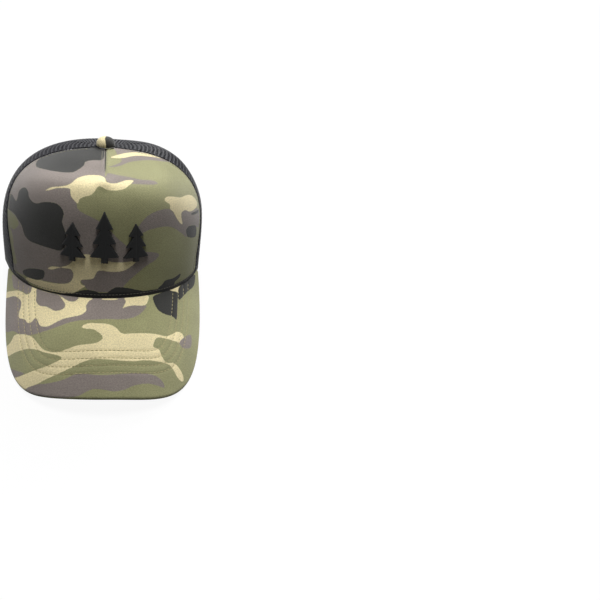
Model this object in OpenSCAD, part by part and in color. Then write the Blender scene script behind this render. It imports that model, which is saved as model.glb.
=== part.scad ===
/* [Crown] */
// Width of the crown at the hem, side to side
crown_width = 171; // [160:1:182]
// Length of the crown at the hem, front to back
crown_length = 195; // [186:1:206]
// Height of the crown above the hem plane, up to the button
crown_height = 100; // [92:1:112]
// How far the button sits behind the middle of the hem
button_back = 3; // [0:1:10]
// Backward lean of the front panel, degrees
front_lean = 9; // [0:0.5:14]
// Squareness of the front profile (2 is a plain ellipse)
front_square = 3.7; // [2.4:0.1:4.4]
// Squareness of the side profile
side_square = 3; // [2.2:0.1:3.6]
// Squareness of the rear profile
rear_square = 2.3; // [2:0.1:3]
// Outward swell of the walls, as a share of their distance from the button
wall_swell = 0.04; // [0:0.005:0.06]
// Height of the soft peak that the dart leaves on the front panel
dart_peak = 1.5; // [0:0.5:3]

/* [Panels] */
// Bearing of the front seam at the hem, degrees from the front
front_seam_low = 58; // [54:1:64]
// Bearing of the front seam near the button, degrees from the front
front_seam_high = 79; // [70:1:84]
// Bearing of the seam between side and rear mesh, degrees from the front
side_seam = 120; // [112:1:128]
// Thickness of the front cloth
cloth_t = 1; // [0.6:0.1:1.4]
// Thickness of the stiff lining behind the front cloth
lining_t = 1.6; // [0.8:0.1:2.4]
// Thickness of the knitted mesh
mesh_t = 1; // [0.6:0.1:1.4]
// Width of the tape over the inner seams
tape_w = 10; // [6:1:12]
// Thickness of the tape over the inner seams
tape_t = 0.6; // [0.4:0.1:1]
// Gap between plies that lie on each other
ply_gap = 0.15; // [0.1:0.05:0.3]
// Gap between a tape and the seam that it covers
tape_gap = 0.45; // [0.4:0.05:0.6]
// Gap across a sewn seam between two panels
seam_gap = 0.3; // [0.2:0.05:0.5]

/* [Visor] */
// Length of the visor along its middle
visor_length = 78; // [64:1:86]
// Half the width of the visor, measured round its bend
visor_half = 95; // [90:1:99]
// Radius that the visor is bent to
visor_bend = 99; // [92:1:112]
// Slope of the visor's middle line, degrees below the hem plane
visor_slope = 37; // [28:1:42]
// Height of the visor's root above the hem plane, at the front
visor_rise = 11; // [6:1:18]
// Squareness of the visor's front corners, across
visor_square = 3.9; // [2.4:0.1:4.4]
// Squareness of the visor's front corners, lengthwise
visor_square_long = 2.7; // [2:0.1:3.4]
// Bearing of the visor's tips, degrees from the front
visor_tip = 67; // [62:1:70]
// Thickness of each visor cover
cover_t = 0.8; // [0.5:0.1:1.2]
// Thickness of the stiffening board inside the visor
board_t = 1.8; // [1.2:0.1:2.6]
// Gap between the visor's board and its covers
board_gap = 0.25; // [0.2:0.05:0.4]
// Gap between the visor's root and the crown
root_gap = 0.3; // [0.2:0.05:0.6]

/* [Sweatband] */
// Height of the sweatband
band_h = 30; // [22:1:38]
// Thickness of the sweatband
band_t = 1.5; // [1:0.1:2.5]
// Room behind the sweatband for the sewn tabs of the straps
band_gap = 1; // [0.8:0.1:1.5]
// Height of the sewn edge that joins the sweatband to the hem
band_sewn_h = 3; // [2:0.5:3.5]

/* [Rear opening and snap closure] */
// Width of the arch at the hem
arch_w = 76; // [66:1:84]
// Height of the arch
arch_h = 48; // [40:1:56]
// Squareness of the arch (2 is a plain ellipse)
arch_square = 2.6; // [2.2:0.1:3.2]
// Width of the binding round the arch
binding_w = 8; // [5:1:10]
// Gap between the binding and the mesh in its fold
binding_gap = 0.3; // [0.25:0.05:0.4]
// Thickness of the binding tape
binding_t = 0.7; // [0.5:0.1:1]
// Width of the plastic straps
strap_w = 19; // [16:1:22]
// Thickness of the plastic straps
strap_t = 1.6; // [1.2:0.1:2]
// Height of the straps' lower edge above the hem
strap_lift = 7; // [5:0.5:9]
// Number of pegs on one strap, and of holes in the other
peg_count = 6; // [4:1:6]
// Number of pegs that are snapped into holes
pegs_engaged = 4; // [3:1:4]
// Distance from one peg to the next
peg_pitch = 8; // [7.5:0.5:9]
// Diameter of the holes
hole_d = 5; // [4.4:0.2:5.6]
// Gap round a peg in its hole
peg_gap = 0.4; // [0.3:0.05:0.6]
// Length of the sewn tab at each strap's root
tab_l = 14; // [10:1:16]
// Running gap between the straps
strap_gap = 0.3; // [0.25:0.05:0.5]
// Gap between a strap's root and the binding of the arch, for its swing
swing_gap = 0.8; // [0.6:0.1:1.2]

/* [Button] */
// Diameter of the covered button
button_d = 16; // [13:0.5:19]
// Height of the covered button
button_h = 8; // [6:0.5:10]
// Diameter of the button's post
post_d = 3; // [2.4:0.2:3.4]
// Diameter of the backing disc under the crown
back_d = 13; // [11:0.5:15]

/* [Emblem] */
// Height of the middle tree of the raised emblem
emblem_h = 36; // [28:1:40]
// Distance between the trees of the emblem
emblem_step = 25; // [23:1:28]
// Width of a tree's foot
emblem_w = 22; // [14:1:22]
// How far the embroidery stands off the cloth
emblem_t = 2; // [1:0.5:3]
// Height of the emblem's foot above the hem plane
emblem_foot = 39; // [34:1:42]

/* [Hidden] */
$fn = 64;

// Half sizes of the hem, which is an ellipse
half_w = crown_width / 2;
half_l = crown_length / 2;
// Profile angle at the foot of the dart, and how far its peak spreads, degrees
dart_foot = 52;
dart_spread = 14;
// Smallest angle used for slopes of the crown's surface, degrees
probe = 0.5;
// Profile angle at which panels stop round the button's post, 90 being the crown's middle
panel_top = 87.5;
// Rows of facets from hem to button, the same in every panel so that seams match
panel_rows = 15;
// Columns of facets from the arch's corner to its top
arch_columns = 9;
// How far the crown's lower edge hangs below the top of the visor
seam_drop = 2;
// Bearing over which the hem comes level again behind the visor's tips
hem_ease = 26;
// How quickly the front and rear squareness give way to that of the sides
square_spread = 1.5;
// How early the front seam reaches its upper bearing, and how evenly the rows of facets are spaced
seam_sweep = 1.5;
row_spread = 0.9;

// Ply depths, measured inward from the crown's outer surface
lining_out = cloth_t + ply_gap;
lining_in = lining_out + lining_t;
front_tape_out = lining_in + tape_gap;
mesh_tape_out = mesh_t + tape_gap;
binding_slot = mesh_t + binding_gap;
binding_out = -binding_gap - binding_t;
binding_in = binding_slot + binding_t;
hole_strap_out = binding_in + strap_gap;
hole_strap_in = hole_strap_out + strap_t;
peg_strap_out = hole_strap_in + strap_gap;
peg_strap_in = peg_strap_out + strap_t;
band_out = peg_strap_in + band_gap;
band_in = band_out + band_t;
band_seat = lining_in + ply_gap;

function unit(v) = v / norm(v);
function mix(a, b, t) = a + (b - a) * t;
function clamp(x, low, high) = min(max(x, low), high);
function ease(t) = t * t * (3 - 2 * t);
function sign_power(x, e) = sign(x) * pow(abs(x), e);

// Visor surface: beta is the angle round the bend, f the way out from the root,
// lift the height above the top
function visor_point(beta, f, lift) =
    let (r = visor_bend + lift)
    let (drop = visor_bend - r * cos(beta))
    [r * sin(beta),
     -half_l - f * cos(visor_slope) + drop * sin(visor_slope),
     visor_rise - f * sin(visor_slope) - drop * cos(visor_slope)];

// Hem of the crown: a is the bearing from the front, towards the wearer's left
function hem_radius(a) = 1 / sqrt(pow(sin(a) / half_w, 2) + pow(cos(a) / half_l, 2));
function hem_point(a, out = 0) = (hem_radius(a) + out) * [sin(a), -cos(a)];
// Bearing of the hem at a distance to the side, in its front half
function hem_bearing(x) =
    let (c = clamp(x / half_w, -0.999, 0.999))
    atan2(x, half_l * sqrt(1 - c * c));

// Place on the visor where it meets the crown, as angle round the bend and way out from the root
function visor_root(a, lift, out = 0) =
    let (p = hem_point(a, out))
    let (r = visor_bend + lift)
    let (beta = asin(clamp(p.x / r, -0.99, 0.99)))
    let (drop = visor_bend - r * cos(beta))
    [beta, (-half_l - p.y + drop * sin(visor_slope)) / cos(visor_slope)];

// Height of the crown's lower edge: on the visor at the front, level at the rear
function visor_seat(a) =
    let (root = visor_root(a, 0))
    visor_point(root[0], root[1], 0).z - seam_drop;
function hem_height(a) =
    let (b = abs(a))
    b <= visor_tip ? visor_seat(b)
    : b >= visor_tip + hem_ease ? 0
    : visor_seat(visor_tip) * (1 - ease((b - visor_tip) / hem_ease));

// Crown surface: phi runs from 0 at the hem to 90 under the button
function wall_power(a) =
    side_square + pow(abs(cos(a)), square_spread) * ((cos(a) > 0 ? front_square : rear_square) - side_square);
function profile_angle(a, phi) = atan(pow(tan(phi), wall_power(a) / 2));
function dart_lift(a, phi) =
    dart_peak * exp(-pow(a / dart_spread, 2) - pow((phi - dart_foot) / dart_spread, 2));
function crown_point(a, phi) =
    let (n = wall_power(a))
    let (s = profile_angle(a, phi))
    let (k = pow(cos(s), 2 / n))
    let (swell = k * (1 + wall_swell * sin(2 * s)))
    let (low = hem_height(a))
    let (rise = (crown_height - low) * pow(sin(s), 2 / n))
    let (back = tan(front_lean) * rise * max(cos(a), 0) * k)
    let (p = hem_point(a))
    let (peak = dart_lift(a, phi))
    [p.x * swell,
     button_back + (p.y - button_back) * swell + back - peak * cos(phi),
     low + rise + peak * sin(phi)];
function crown_normal(a, phi) =
    let (across = crown_point(a + probe, phi) - crown_point(a - probe, phi))
    let (up = crown_point(a, phi + probe) - crown_point(a, max(phi - probe, 0)))
    unit(cross(across, up));
function ply(a, phi, depth) = crown_point(a, phi) - depth * crown_normal(a, phi);
// Profile angle at a height above the hem plane
function phi_at(a, z) =
    let (n = wall_power(a))
    let (low = hem_height(a))
    let (s = asin(pow(clamp((z - low) / (crown_height - low), 0, 1), n / 2)))
    atan(pow(tan(s), 2 / n));
function wall(a, z, depth) = ply(a, phi_at(a, z), depth);
// Distance of the crown surface from the button's axis
function crown_reach(a, phi) = norm([for (i = [0, 1]) crown_point(a, phi)[i] - [0, button_back][i]]);

// Seams
function front_seam(phi) =
    front_seam_low + (front_seam_high - front_seam_low) * pow(sin(min(seam_sweep * phi, 90)), 2);
function seam_half(phi, a) = seam_gap / 2 / max(crown_reach(a, phi), 1) * 180 / PI;
function panel_row(j, low = 0) = low + (panel_top - low) * pow(j / panel_rows, row_spread);

// Arch: bearing and height of the opening's edge, grown by g, from 0 at the left to 180 at the right
function arch_bearing(t, g = 0) =
    180 - hem_bearing((arch_w / 2 + g) * sign_power(cos(t), 2 / arch_square));
function arch_height(t, g = 0) = (arch_h + g) * sign_power(sin(t), 2 / arch_square);
// Half the clear width of the arch at a height
function arch_half(z) =
    (arch_w / 2 + binding_out) * pow(1 - pow(z / (arch_h + binding_out), arch_square), 1 / arch_square);
arch_corner = arch_bearing(0);
// Point on the arch's edge grown by g, at a depth
function arch_spot(t, g, depth) =
    wall(t <= 90 ? arch_bearing(t, g) : 360 - arch_bearing(180 - t, g), arch_height(t, g), depth);

// A sheet between two grids of points, counted across and then up
function sheet_faces(nu, nv) =
    let (n = nu * nv)
    let (at = function (i, j, layer) layer * n + i * nv + j)
    concat(
        [for (i = [0 : nu - 2], j = [0 : nv - 2]) each [
            [at(i, j, 0), at(i + 1, j + 1, 0), at(i + 1, j, 0)],
            [at(i, j, 0), at(i, j + 1, 0), at(i + 1, j + 1, 0)],
            [at(i, j, 1), at(i + 1, j, 1), at(i + 1, j + 1, 1)],
            [at(i, j, 1), at(i + 1, j + 1, 1), at(i, j + 1, 1)]]],
        [for (i = [0 : nu - 2]) each [
            [at(i, 0, 0), at(i + 1, 0, 0), at(i + 1, 0, 1)],
            [at(i, 0, 0), at(i + 1, 0, 1), at(i, 0, 1)],
            [at(i + 1, nv - 1, 0), at(i, nv - 1, 0), at(i, nv - 1, 1)],
            [at(i + 1, nv - 1, 0), at(i, nv - 1, 1), at(i + 1, nv - 1, 1)]]],
        [for (j = [0 : nv - 2]) each [
            [at(0, j + 1, 0), at(0, j, 0), at(0, j, 1)],
            [at(0, j + 1, 0), at(0, j, 1), at(0, j + 1, 1)],
            [at(nu - 1, j, 0), at(nu - 1, j + 1, 0), at(nu - 1, j + 1, 1)],
            [at(nu - 1, j, 0), at(nu - 1, j + 1, 1), at(nu - 1, j, 1)]]]);
module sheet(outer, inner) {
    points = concat([for (column = outer) each column], [for (column = inner) each column]);
    polyhedron(points = points, faces = sheet_faces(len(outer), len(outer[0])), convexity = 8);
}

// A closed profile carried along a row of stations, with its two ends filled by the given triangles
module strip(rings, ends) {
    n = len(rings[0]);
    last = (len(rings) - 1) * n;
    sides = [for (i = [0 : len(rings) - 2], k = [0 : n - 1]) each [
        [i * n + k, (i + 1) * n + (k + 1) % n, (i + 1) * n + k],
        [i * n + k, i * n + (k + 1) % n, (i + 1) * n + (k + 1) % n]]];
    near = [for (e = ends) [e[0], e[2], e[1]]];
    far = [for (e = ends) [last + e[0], last + e[1], last + e[2]]];
    polyhedron(points = [for (ring = rings) each ring], faces = concat(sides, near, far), convexity = 8);
}

// Thickness of the visor, and the radius of its rounded rim
visor_t = 2 * cover_t + board_t + 2 * board_gap;
visor_edge_r = visor_t / 2;
// How closely the columns of facets crowd towards the tips, and the share of the way at which they end
tip_crowd = 1.6;
tip_end = 0.95;
// Outline of the visor, t from -1 at the right tip to 1 at the left tip, where it runs into the crown
visor_tip_root = visor_root(visor_tip, 0, root_gap);
visor_half_angle = visor_half / visor_bend * 180 / PI;
function visor_outline(t) =
    let (u = sign(t) * (1 - pow(1 - abs(t), tip_crowd)))
    let (across = sin(90 * u))
    let (out = pow(max(1 - pow(abs(across), visor_square), 0), 1 / visor_square_long))
    [across * mix(visor_half_angle, visor_tip_root[0], pow(1 - out, 2)),
     mix(visor_tip_root[1], visor_length, out)];
// Bearing of the tips on a lower ply, whose tighter bend brings them forward
function ply_tip(lift) = hem_bearing((visor_bend + lift) * sin(visor_tip_root[0]) - root_gap);

// Visor plies
half_columns = 19;
visor_columns = [for (i = [-half_columns : half_columns]) i / half_columns * tip_end];
visor_rows = [0, 0.3, 0.6, 0.85];
rim_steps = [0, 30, 60, 90];
function visor_spot(t, inset, share, lift) =
    let (root = visor_root(t * ply_tip(lift), lift, root_gap))
    let (rim = visor_outline(t))
    let (long = norm([(rim[0] - root[0]) * visor_bend * PI / 180, rim[1] - root[1]]))
    let (way = share * max(1 - inset / long, 0.5))
    visor_point(mix(root[0], rim[0], way), mix(root[1], rim[1], way), lift);
// Face of a cover at distance r from the rim's middle, up or down
function cover_column(t, r, up) = concat(
    [for (share = visor_rows) visor_spot(t, visor_edge_r, share, -visor_edge_r + up * r)],
    [for (g = rim_steps) visor_spot(t, visor_edge_r - r * sin(g), 1,
        -visor_edge_r + up * max(r * cos(g), ply_gap / 2))]);
// Attitude of the cap set down on a table: it stands on the visor's front corners and the rear hem
visor_skin = [for (t = visor_columns, up = [-1, 1]) each cover_column(t, visor_edge_r, up)];
rear_skin = concat(
    [for (i = [0 : arch_columns]) arch_spot(90 * i / arch_columns, binding_w, binding_out)],
    [for (phi = [0 : 2 : 60]) crown_point(180, phi)]);
rear_foot = arch_spot(0, binding_out, binding_out);
rest_pitch = max([for (p = visor_skin) atan2(-p.z, rear_foot.y - p.y)]);
function pitched(p) = [p.x, p.y * cos(rest_pitch) + p.z * sin(rest_pitch),
    p.z * cos(rest_pitch) - p.y * sin(rest_pitch)];
rest_front = min([for (p = visor_skin) pitched(p).y]);
rest_rear = max([for (p = rear_skin) pitched(p).y]);
rest_move = [0, -(rest_front + rest_rear) / 2, -pitched(rear_foot).z];
module set_down() {
    translate(rest_move) rotate([-rest_pitch, 0, 0]) children();
}

module visor_cover(up) {
    face = function (r) [for (t = visor_columns) cover_column(-up * t, r, up)];
    sheet(face(visor_edge_r), face(visor_edge_r - cover_t));
}

// Crown panels, with their columns of facets
front_columns = 24;
side_columns = 8;
function panel_grid(a_low, a_high, columns, depth) = [for (i = [0 : columns])
    [for (j = [0 : panel_rows]) let (phi = panel_row(j))
        ply(mix(a_low(phi), a_high(phi), i / columns), phi, depth)]];
module panel(a_low, a_high, columns, depth, t) {
    sheet(panel_grid(a_low, a_high, columns, depth), panel_grid(a_low, a_high, columns, depth + t));
}

module front_panel() {
    edge = function (phi) front_seam(phi) - seam_half(phi, front_seam(phi));
    color("darkolivegreen") set_down()
        panel(function (phi) -edge(phi), edge, front_columns, 0, cloth_t);
}

module front_lining() {
    edge = function (phi) front_seam(phi) - seam_half(phi, front_seam(phi));
    color("lightgray") set_down()
        panel(function (phi) -edge(phi), edge, front_columns, lining_out, lining_t);
}

module side_mesh(side) {
    front = function (phi) front_seam(phi) + seam_half(phi, front_seam(phi));
    rear = function (phi) side_seam - seam_half(phi, side_seam);
    color("dimgray") set_down()
        panel(function (phi) side > 0 ? front(phi) : -rear(phi),
              function (phi) side > 0 ? rear(phi) : -front(phi), side_columns, 0, mesh_t);
}
module side_mesh_left() {
    side_mesh(1);
}
module side_mesh_right() {
    side_mesh(-1);
}

// Rear panel, whose columns over the arch start at the arch's edge
plain_columns = 5;
function rear_column(a, low, depth) = [for (j = [0 : panel_rows])
    let (phi = panel_row(j, low))
    ply(clamp(a, side_seam + seam_half(phi, side_seam), 180 - seam_half(phi, 180)), phi, depth)];
function rear_grid(depth) = concat(
    [for (i = [0 : plain_columns]) rear_column(mix(side_seam, arch_corner, i / plain_columns), 0, depth)],
    [for (i = [1 : arch_columns])
        let (t = 90 * i / arch_columns)
        rear_column(arch_bearing(t), phi_at(arch_bearing(t), arch_height(t)), depth)]);
module rear_mesh(side) {
    color("dimgray") set_down() mirror([side > 0 ? 0 : 1, 0, 0])
        sheet(rear_grid(0), rear_grid(mesh_t));
}
module rear_mesh_left() {
    rear_mesh(1);
}
module rear_mesh_right() {
    rear_mesh(-1);
}

// Tape over an inner seam, from a height above the hem up to where the tapes meet
tape_rows = 22;
// Distance from the button's axis at which the tapes end, clear of each other
tape_end = 1.6 * tape_w;
tape_low = band_sewn_h + 1;
module seam_tape(bearing, above_hem, depth) {
    low_z = hem_height(bearing(0)) + above_hem;
    low = phi_at(bearing(phi_at(bearing(0), low_z)), low_z);
    top = 90 - tape_end / hem_radius(bearing(panel_top)) * 180 / PI;
    half = function (phi) tape_w / 2 / crown_reach(bearing(phi), phi) * 180 / PI;
    grid = function (d) [for (i = [-1 : 1]) [for (j = [0 : tape_rows])
        let (phi = mix(low, top, j / tape_rows)) ply(bearing(phi) + i * half(phi), phi, d)]];
    color("black") set_down() sheet(grid(depth), grid(depth + tape_t));
}
module seam_tape_front_left() {
    seam_tape(function (phi) front_seam(phi), tape_low, front_tape_out);
}
module seam_tape_front_right() {
    seam_tape(function (phi) -front_seam(phi), tape_low, front_tape_out);
}
module seam_tape_side_left() {
    seam_tape(function (phi) side_seam, tape_low, mesh_tape_out);
}
module seam_tape_side_right() {
    seam_tape(function (phi) -side_seam, tape_low, mesh_tape_out);
}
module seam_tape_rear() {
    seam_tape(function (phi) 180, arch_h + binding_w + 1, mesh_tape_out);
}

// Sweatband, open at the rear arch
band_step = 4;
band_end = 180 - hem_bearing(arch_w / 2 + binding_w / 4);
module sweatband() {
    count = ceil(2 * band_end / band_step);
    rings = [for (i = [0 : count])
        let (a = mix(-band_end, band_end, i / count))
        let (low = hem_height(a) + ply_gap)
        [wall(a, low, band_seat), wall(a, low + band_sewn_h - 1, band_seat),
         wall(a, low + band_sewn_h, band_out), wall(a, low + band_h, band_out),
         wall(a, low + band_h, band_in), wall(a, low, band_in)]];
    color("gray") set_down()
        strip(rings, [[0, 1, 5], [1, 2, 5], [2, 3, 5], [3, 4, 5]]);
}

// Folded tape round the edge of the arch, with the mesh in its slot
module rear_arch_binding() {
    fold = [[binding_out, binding_out], [binding_w, binding_out], [binding_w, -binding_gap],
        [-binding_gap, -binding_gap], [-binding_gap, binding_slot], [binding_w, binding_slot],
        [binding_w, binding_in], [binding_out, binding_in]];
    rings = [for (i = [0 : 2 * arch_columns])
        [for (p = fold) arch_spot(90 * i / arch_columns, p[0], p[1])]];
    color("black") set_down()
        strip(rings, [[0, 1, 2], [0, 2, 3], [0, 3, 4], [0, 4, 7], [4, 5, 6], [4, 6, 7]]);
}

// Snap closure: two straps on arcs about the rear hem's own centre of bend
strap_bend = half_w * half_w / half_l;
strap_centre = half_l - strap_bend;
strap_mid = strap_lift + strap_w / 2;
function arc_angle(way, r) = way / r * 180 / PI;
hole_strap_r = strap_bend - hole_strap_in + strap_t / 2;
peg_strap_r = strap_bend - peg_strap_in + strap_t / 2;
// The straps bend at their roots, just inside the arch's binding
strap_root = asin((arch_half(strap_lift + strap_w) - swing_gap - strap_t / 2) / hole_strap_r);
peg_step = arc_angle(peg_pitch, hole_strap_r);
// Angle of each strap's last peg or hole, past the middle of the arch
strap_tip = (pegs_engaged - 1) / 2 * peg_step;
// Pegs and holes that fit between the tip and the root
peg_room = strap_root + strap_tip - arc_angle(hole_d / 2 + strap_t, hole_strap_r);
pegs = min(peg_count, 1 + floor(peg_room / peg_step));
// Radius of the straps' round tips, as a share of their width
tip_round = 0.6;

// A stretch of strap from one angle to another, angles counted from the middle of the arch
module strap_band(r, from, to) {
    translate([0, strap_centre, strap_lift]) rotate([0, 0, 90 + from])
        rotate_extrude(angle = to - from)
            translate([r - strap_t / 2, 0]) square([strap_t, strap_w]);
}
// Everything at one angle along a strap, X pointing outward
module along_strap(angle, z) {
    translate([0, strap_centre, z]) rotate([0, 0, 90 + angle]) children();
}
// A strap whose root is on the given side, and whose tip is round
module strap(r, side) {
    tip = strap_tip + arc_angle(peg_pitch / 2, r);
    round_r = tip_round * strap_w;
    reach = 2 * strap_bend;
    intersection() {
        strap_band(r, side > 0 ? -tip - 1 : -strap_root, side > 0 ? strap_root : tip + 1);
        along_strap(-side * (tip - arc_angle(round_r, r)), strap_mid) {
            rotate([0, 90, 0]) cylinder(h = reach, r = round_r);
            translate([0, side > 0 ? 0 : -reach, -strap_w]) cube([reach, reach, 2 * strap_w]);
        }
    }
}
// The tab starts half a thickness past the root, which leaves room for the strap's swing
module strap_tab(r, side) {
    start = strap_root + arc_angle(strap_t / 2, r);
    end = start + arc_angle(tab_l, r);
    strap_band(r, side > 0 ? start : -end, side > 0 ? end : -start);
}

module hole_strap() {
    color("black") set_down() difference() {
        strap(hole_strap_r, 1);
        for (i = [0 : pegs - 1])
            along_strap(-strap_tip + i * peg_step, strap_mid)
                translate([hole_strap_r - strap_t, 0, 0]) rotate([0, 90, 0])
                    cylinder(h = 2 * strap_t, d = hole_d);
    }
}
module hole_strap_tab() {
    color("black") set_down() strap_tab(hole_strap_r, 1);
}
module peg_strap() {
    peg_h = strap_gap + strap_t;
    color("black") set_down() {
        strap(peg_strap_r, -1);
        for (i = [0 : pegs - 1])
            along_strap(strap_tip - i * peg_step, strap_mid)
                translate([peg_strap_r, 0, 0]) rotate([0, 90, 0])
                    cylinder(h = strap_t / 2 + peg_h, d1 = hole_d - 2 * peg_gap, d2 = hole_d - 4 * peg_gap);
    }
}
module peg_strap_tab() {
    color("black") set_down() strap_tab(peg_strap_r, -1);
}

// Button, its post and its backing disc, on the crown's axis
button_seat = crown_height + ply_gap;
button_wall = 0.8;
shell_wall = 0.6;
back_t = 1;
post_gap = 0.05;
post_tail = back_t + tape_gap + 1;
module at_button() {
    set_down() translate([0, button_back, 0]) children();
}
// Section of the button's flattened dome, from its foot to its middle
dome_steps = 24;
dome_round = [0.7, 0.8];
function dome(r, h) = [for (i = [0 : dome_steps]) let (q = 90 * i / dome_steps)
    [i == dome_steps ? 0 : r * pow(cos(q), dome_round[0]), h * pow(sin(q), dome_round[1])]];
// A domed cup, open below
module dome_cup(r, h, t) {
    inside = dome(r - t, h - t);
    rotate_extrude() polygon(concat(dome(r, h), [for (i = [dome_steps : -1 : 0]) inside[i]]));
}
module button_cover() {
    color("wheat") at_button() translate([0, 0, button_seat]) dome_cup(button_d / 2, button_h, button_wall);
}
module button_shell() {
    r = button_d / 2 - button_wall - ply_gap;
    h = button_h - button_wall - ply_gap;
    post_low = crown_height - lining_in - post_tail;
    color("silver") at_button() {
        translate([0, 0, button_seat]) dome_cup(r, h, shell_wall);
        translate([0, 0, post_low]) cylinder(h = button_seat + h - shell_wall / 2 - post_low, d = post_d);
    }
}
module button_back() {
    color("silver") at_button() translate([0, 0, crown_height - lining_in - tape_gap - back_t])
        difference() {
            cylinder(h = back_t, d = back_d);
            translate([0, 0, -back_t]) cylinder(h = 3 * back_t, d = post_d + 2 * post_gap);
        }
}

module visor_top_cover() {
    color("tan") set_down() visor_cover(1);
}
module visor_bottom_cover() {
    color("darkolivegreen") set_down() visor_cover(-1);
}
module visor_board() {
    face = function (lift) [for (t = visor_columns)
        [for (share = concat(visor_rows, [1])) visor_spot(-t, visor_edge_r, share, lift)]];
    color("black") set_down() sheet(face(-cover_t - board_gap), face(-cover_t - board_gap - board_t));
}

// Raised emblem: plain fir trees, each a trunk under tiers that narrow upward
tree_tiers = 3;
// Trunk's height and half width, the tiers' foot and how much it narrows, the tiers' neck and the tip,
// as shares of the tree's height and foot width
trunk_h = 0.14;
trunk_half = 0.12;
tier_foot = 0.5;
tier_narrows = 0.1;
tier_neck = 0.2;
neck_narrows = 0.05;
tree_tip = 0.03;
tier_drop = 0.01;
// Height of the outer trees as a share of the middle one's
outer_tree = 0.78;
function tier_height(i) = trunk_h + (1 - trunk_h) * i / tree_tiers;
tree_profile = concat(
    [[0, trunk_half], [trunk_h - tier_drop, trunk_half]],
    [for (i = [0 : tree_tiers - 1]) each [
        [tier_height(i), tier_foot - tier_narrows * i],
        [tier_height(i + 1) - tier_drop, i == tree_tiers - 1 ? tree_tip : tier_neck - neck_narrows * i]]]);
module emblem_tree(x, h) {
    grid = function (depth) [for (side = [-1 : 1]) [for (p = tree_profile)
        let (a = atan2(x + side * p[1] * emblem_w, half_l))
        wall(a, emblem_foot + p[0] * h, depth)]];
    color("black") set_down() sheet(grid(-ply_gap - emblem_t), grid(-ply_gap));
}
module emblem_tree_left() {
    emblem_tree(emblem_step, outer_tree * emblem_h);
}
module emblem_tree_middle() {
    emblem_tree(0, emblem_h);
}
module emblem_tree_right() {
    emblem_tree(-emblem_step, outer_tree * emblem_h);
}

front_panel();
front_lining();
side_mesh_left();
side_mesh_right();
rear_mesh_left();
rear_mesh_right();
seam_tape_front_left();
seam_tape_front_right();
seam_tape_side_left();
seam_tape_side_right();
seam_tape_rear();
button_cover();
button_shell();
button_back();
visor_top_cover();
visor_board();
visor_bottom_cover();
sweatband();
rear_arch_binding();
hole_strap();
hole_strap_tab();
peg_strap();
peg_strap_tab();
emblem_tree_left();
emblem_tree_middle();
emblem_tree_right();
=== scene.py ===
"""Looks of a trucker mesh cap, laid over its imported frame.

The crown, visor, tapes and bands repeat the part's own surfaces, so every sheet lies where its solid does.
The last group of sizes in CapForm adds what the photograph shows beyond the solids.
Lengths are millimetres in the worn attitude; place() turns them into metres as the cap is set down.
"""

import logging
import math
from collections.abc import Callable
from dataclasses import dataclass, replace
from enum import Enum

import bpy
import numpy as np
from mathutils import Matrix, Vector


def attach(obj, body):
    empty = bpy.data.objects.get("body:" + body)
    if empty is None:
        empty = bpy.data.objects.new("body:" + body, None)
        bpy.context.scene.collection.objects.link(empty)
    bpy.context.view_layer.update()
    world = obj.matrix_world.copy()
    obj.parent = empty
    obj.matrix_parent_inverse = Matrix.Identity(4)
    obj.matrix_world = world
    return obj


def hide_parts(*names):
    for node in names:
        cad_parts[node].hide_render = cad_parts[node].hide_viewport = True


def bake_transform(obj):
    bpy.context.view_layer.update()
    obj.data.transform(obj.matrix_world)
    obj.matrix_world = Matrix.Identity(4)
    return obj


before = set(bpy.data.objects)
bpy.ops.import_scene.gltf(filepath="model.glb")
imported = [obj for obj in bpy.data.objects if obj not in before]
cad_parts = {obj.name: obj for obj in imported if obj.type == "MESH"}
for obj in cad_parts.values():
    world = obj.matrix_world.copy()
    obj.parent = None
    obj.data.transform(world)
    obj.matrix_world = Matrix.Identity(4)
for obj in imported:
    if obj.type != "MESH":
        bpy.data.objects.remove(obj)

logging.basicConfig(level=logging.INFO, format="%(message)s")
log = logging.getLogger("cap")

Array = np.ndarray
Surface = Callable[[Array, Array], Array]
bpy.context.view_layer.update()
MM = 0.001


class Side(Enum):
    """Wearer's side of a paired piece."""

    LEFT = 1
    RIGHT = -1


class Tone(Enum):
    """Tones of the camouflage print over its green ground."""

    GREEN = "green"
    CREAM = "cream"
    TAUPE = "taupe"
    BLACK = "black"


def rad(angle: Array | float) -> Array | float:
    """Return an angle in radians."""
    return np.radians(angle)


def ease(t: Array) -> Array:
    """Return a smooth step of t from 0 to 1."""
    t = np.clip(t, 0, 1)
    return t * t * (3 - 2 * t)


def window(t: Array, start: float, rise: float, end: float, fall: float) -> Array:
    """Return a smooth rise from a start and a smooth fall from an end."""
    return ease((t - start) / rise) * (1 - ease((t - end) / fall))


def bell(t: Array, width: float) -> Array:
    """Return a bell of height 1 over t = 0."""
    return np.exp(-((t / width) ** 2))


def way_along(line: Array) -> Array:
    """Return the way from a line's start to each of its points."""
    return np.concatenate([[0], np.cumsum(np.linalg.norm(np.diff(line, axis=0), axis=1))])


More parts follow.
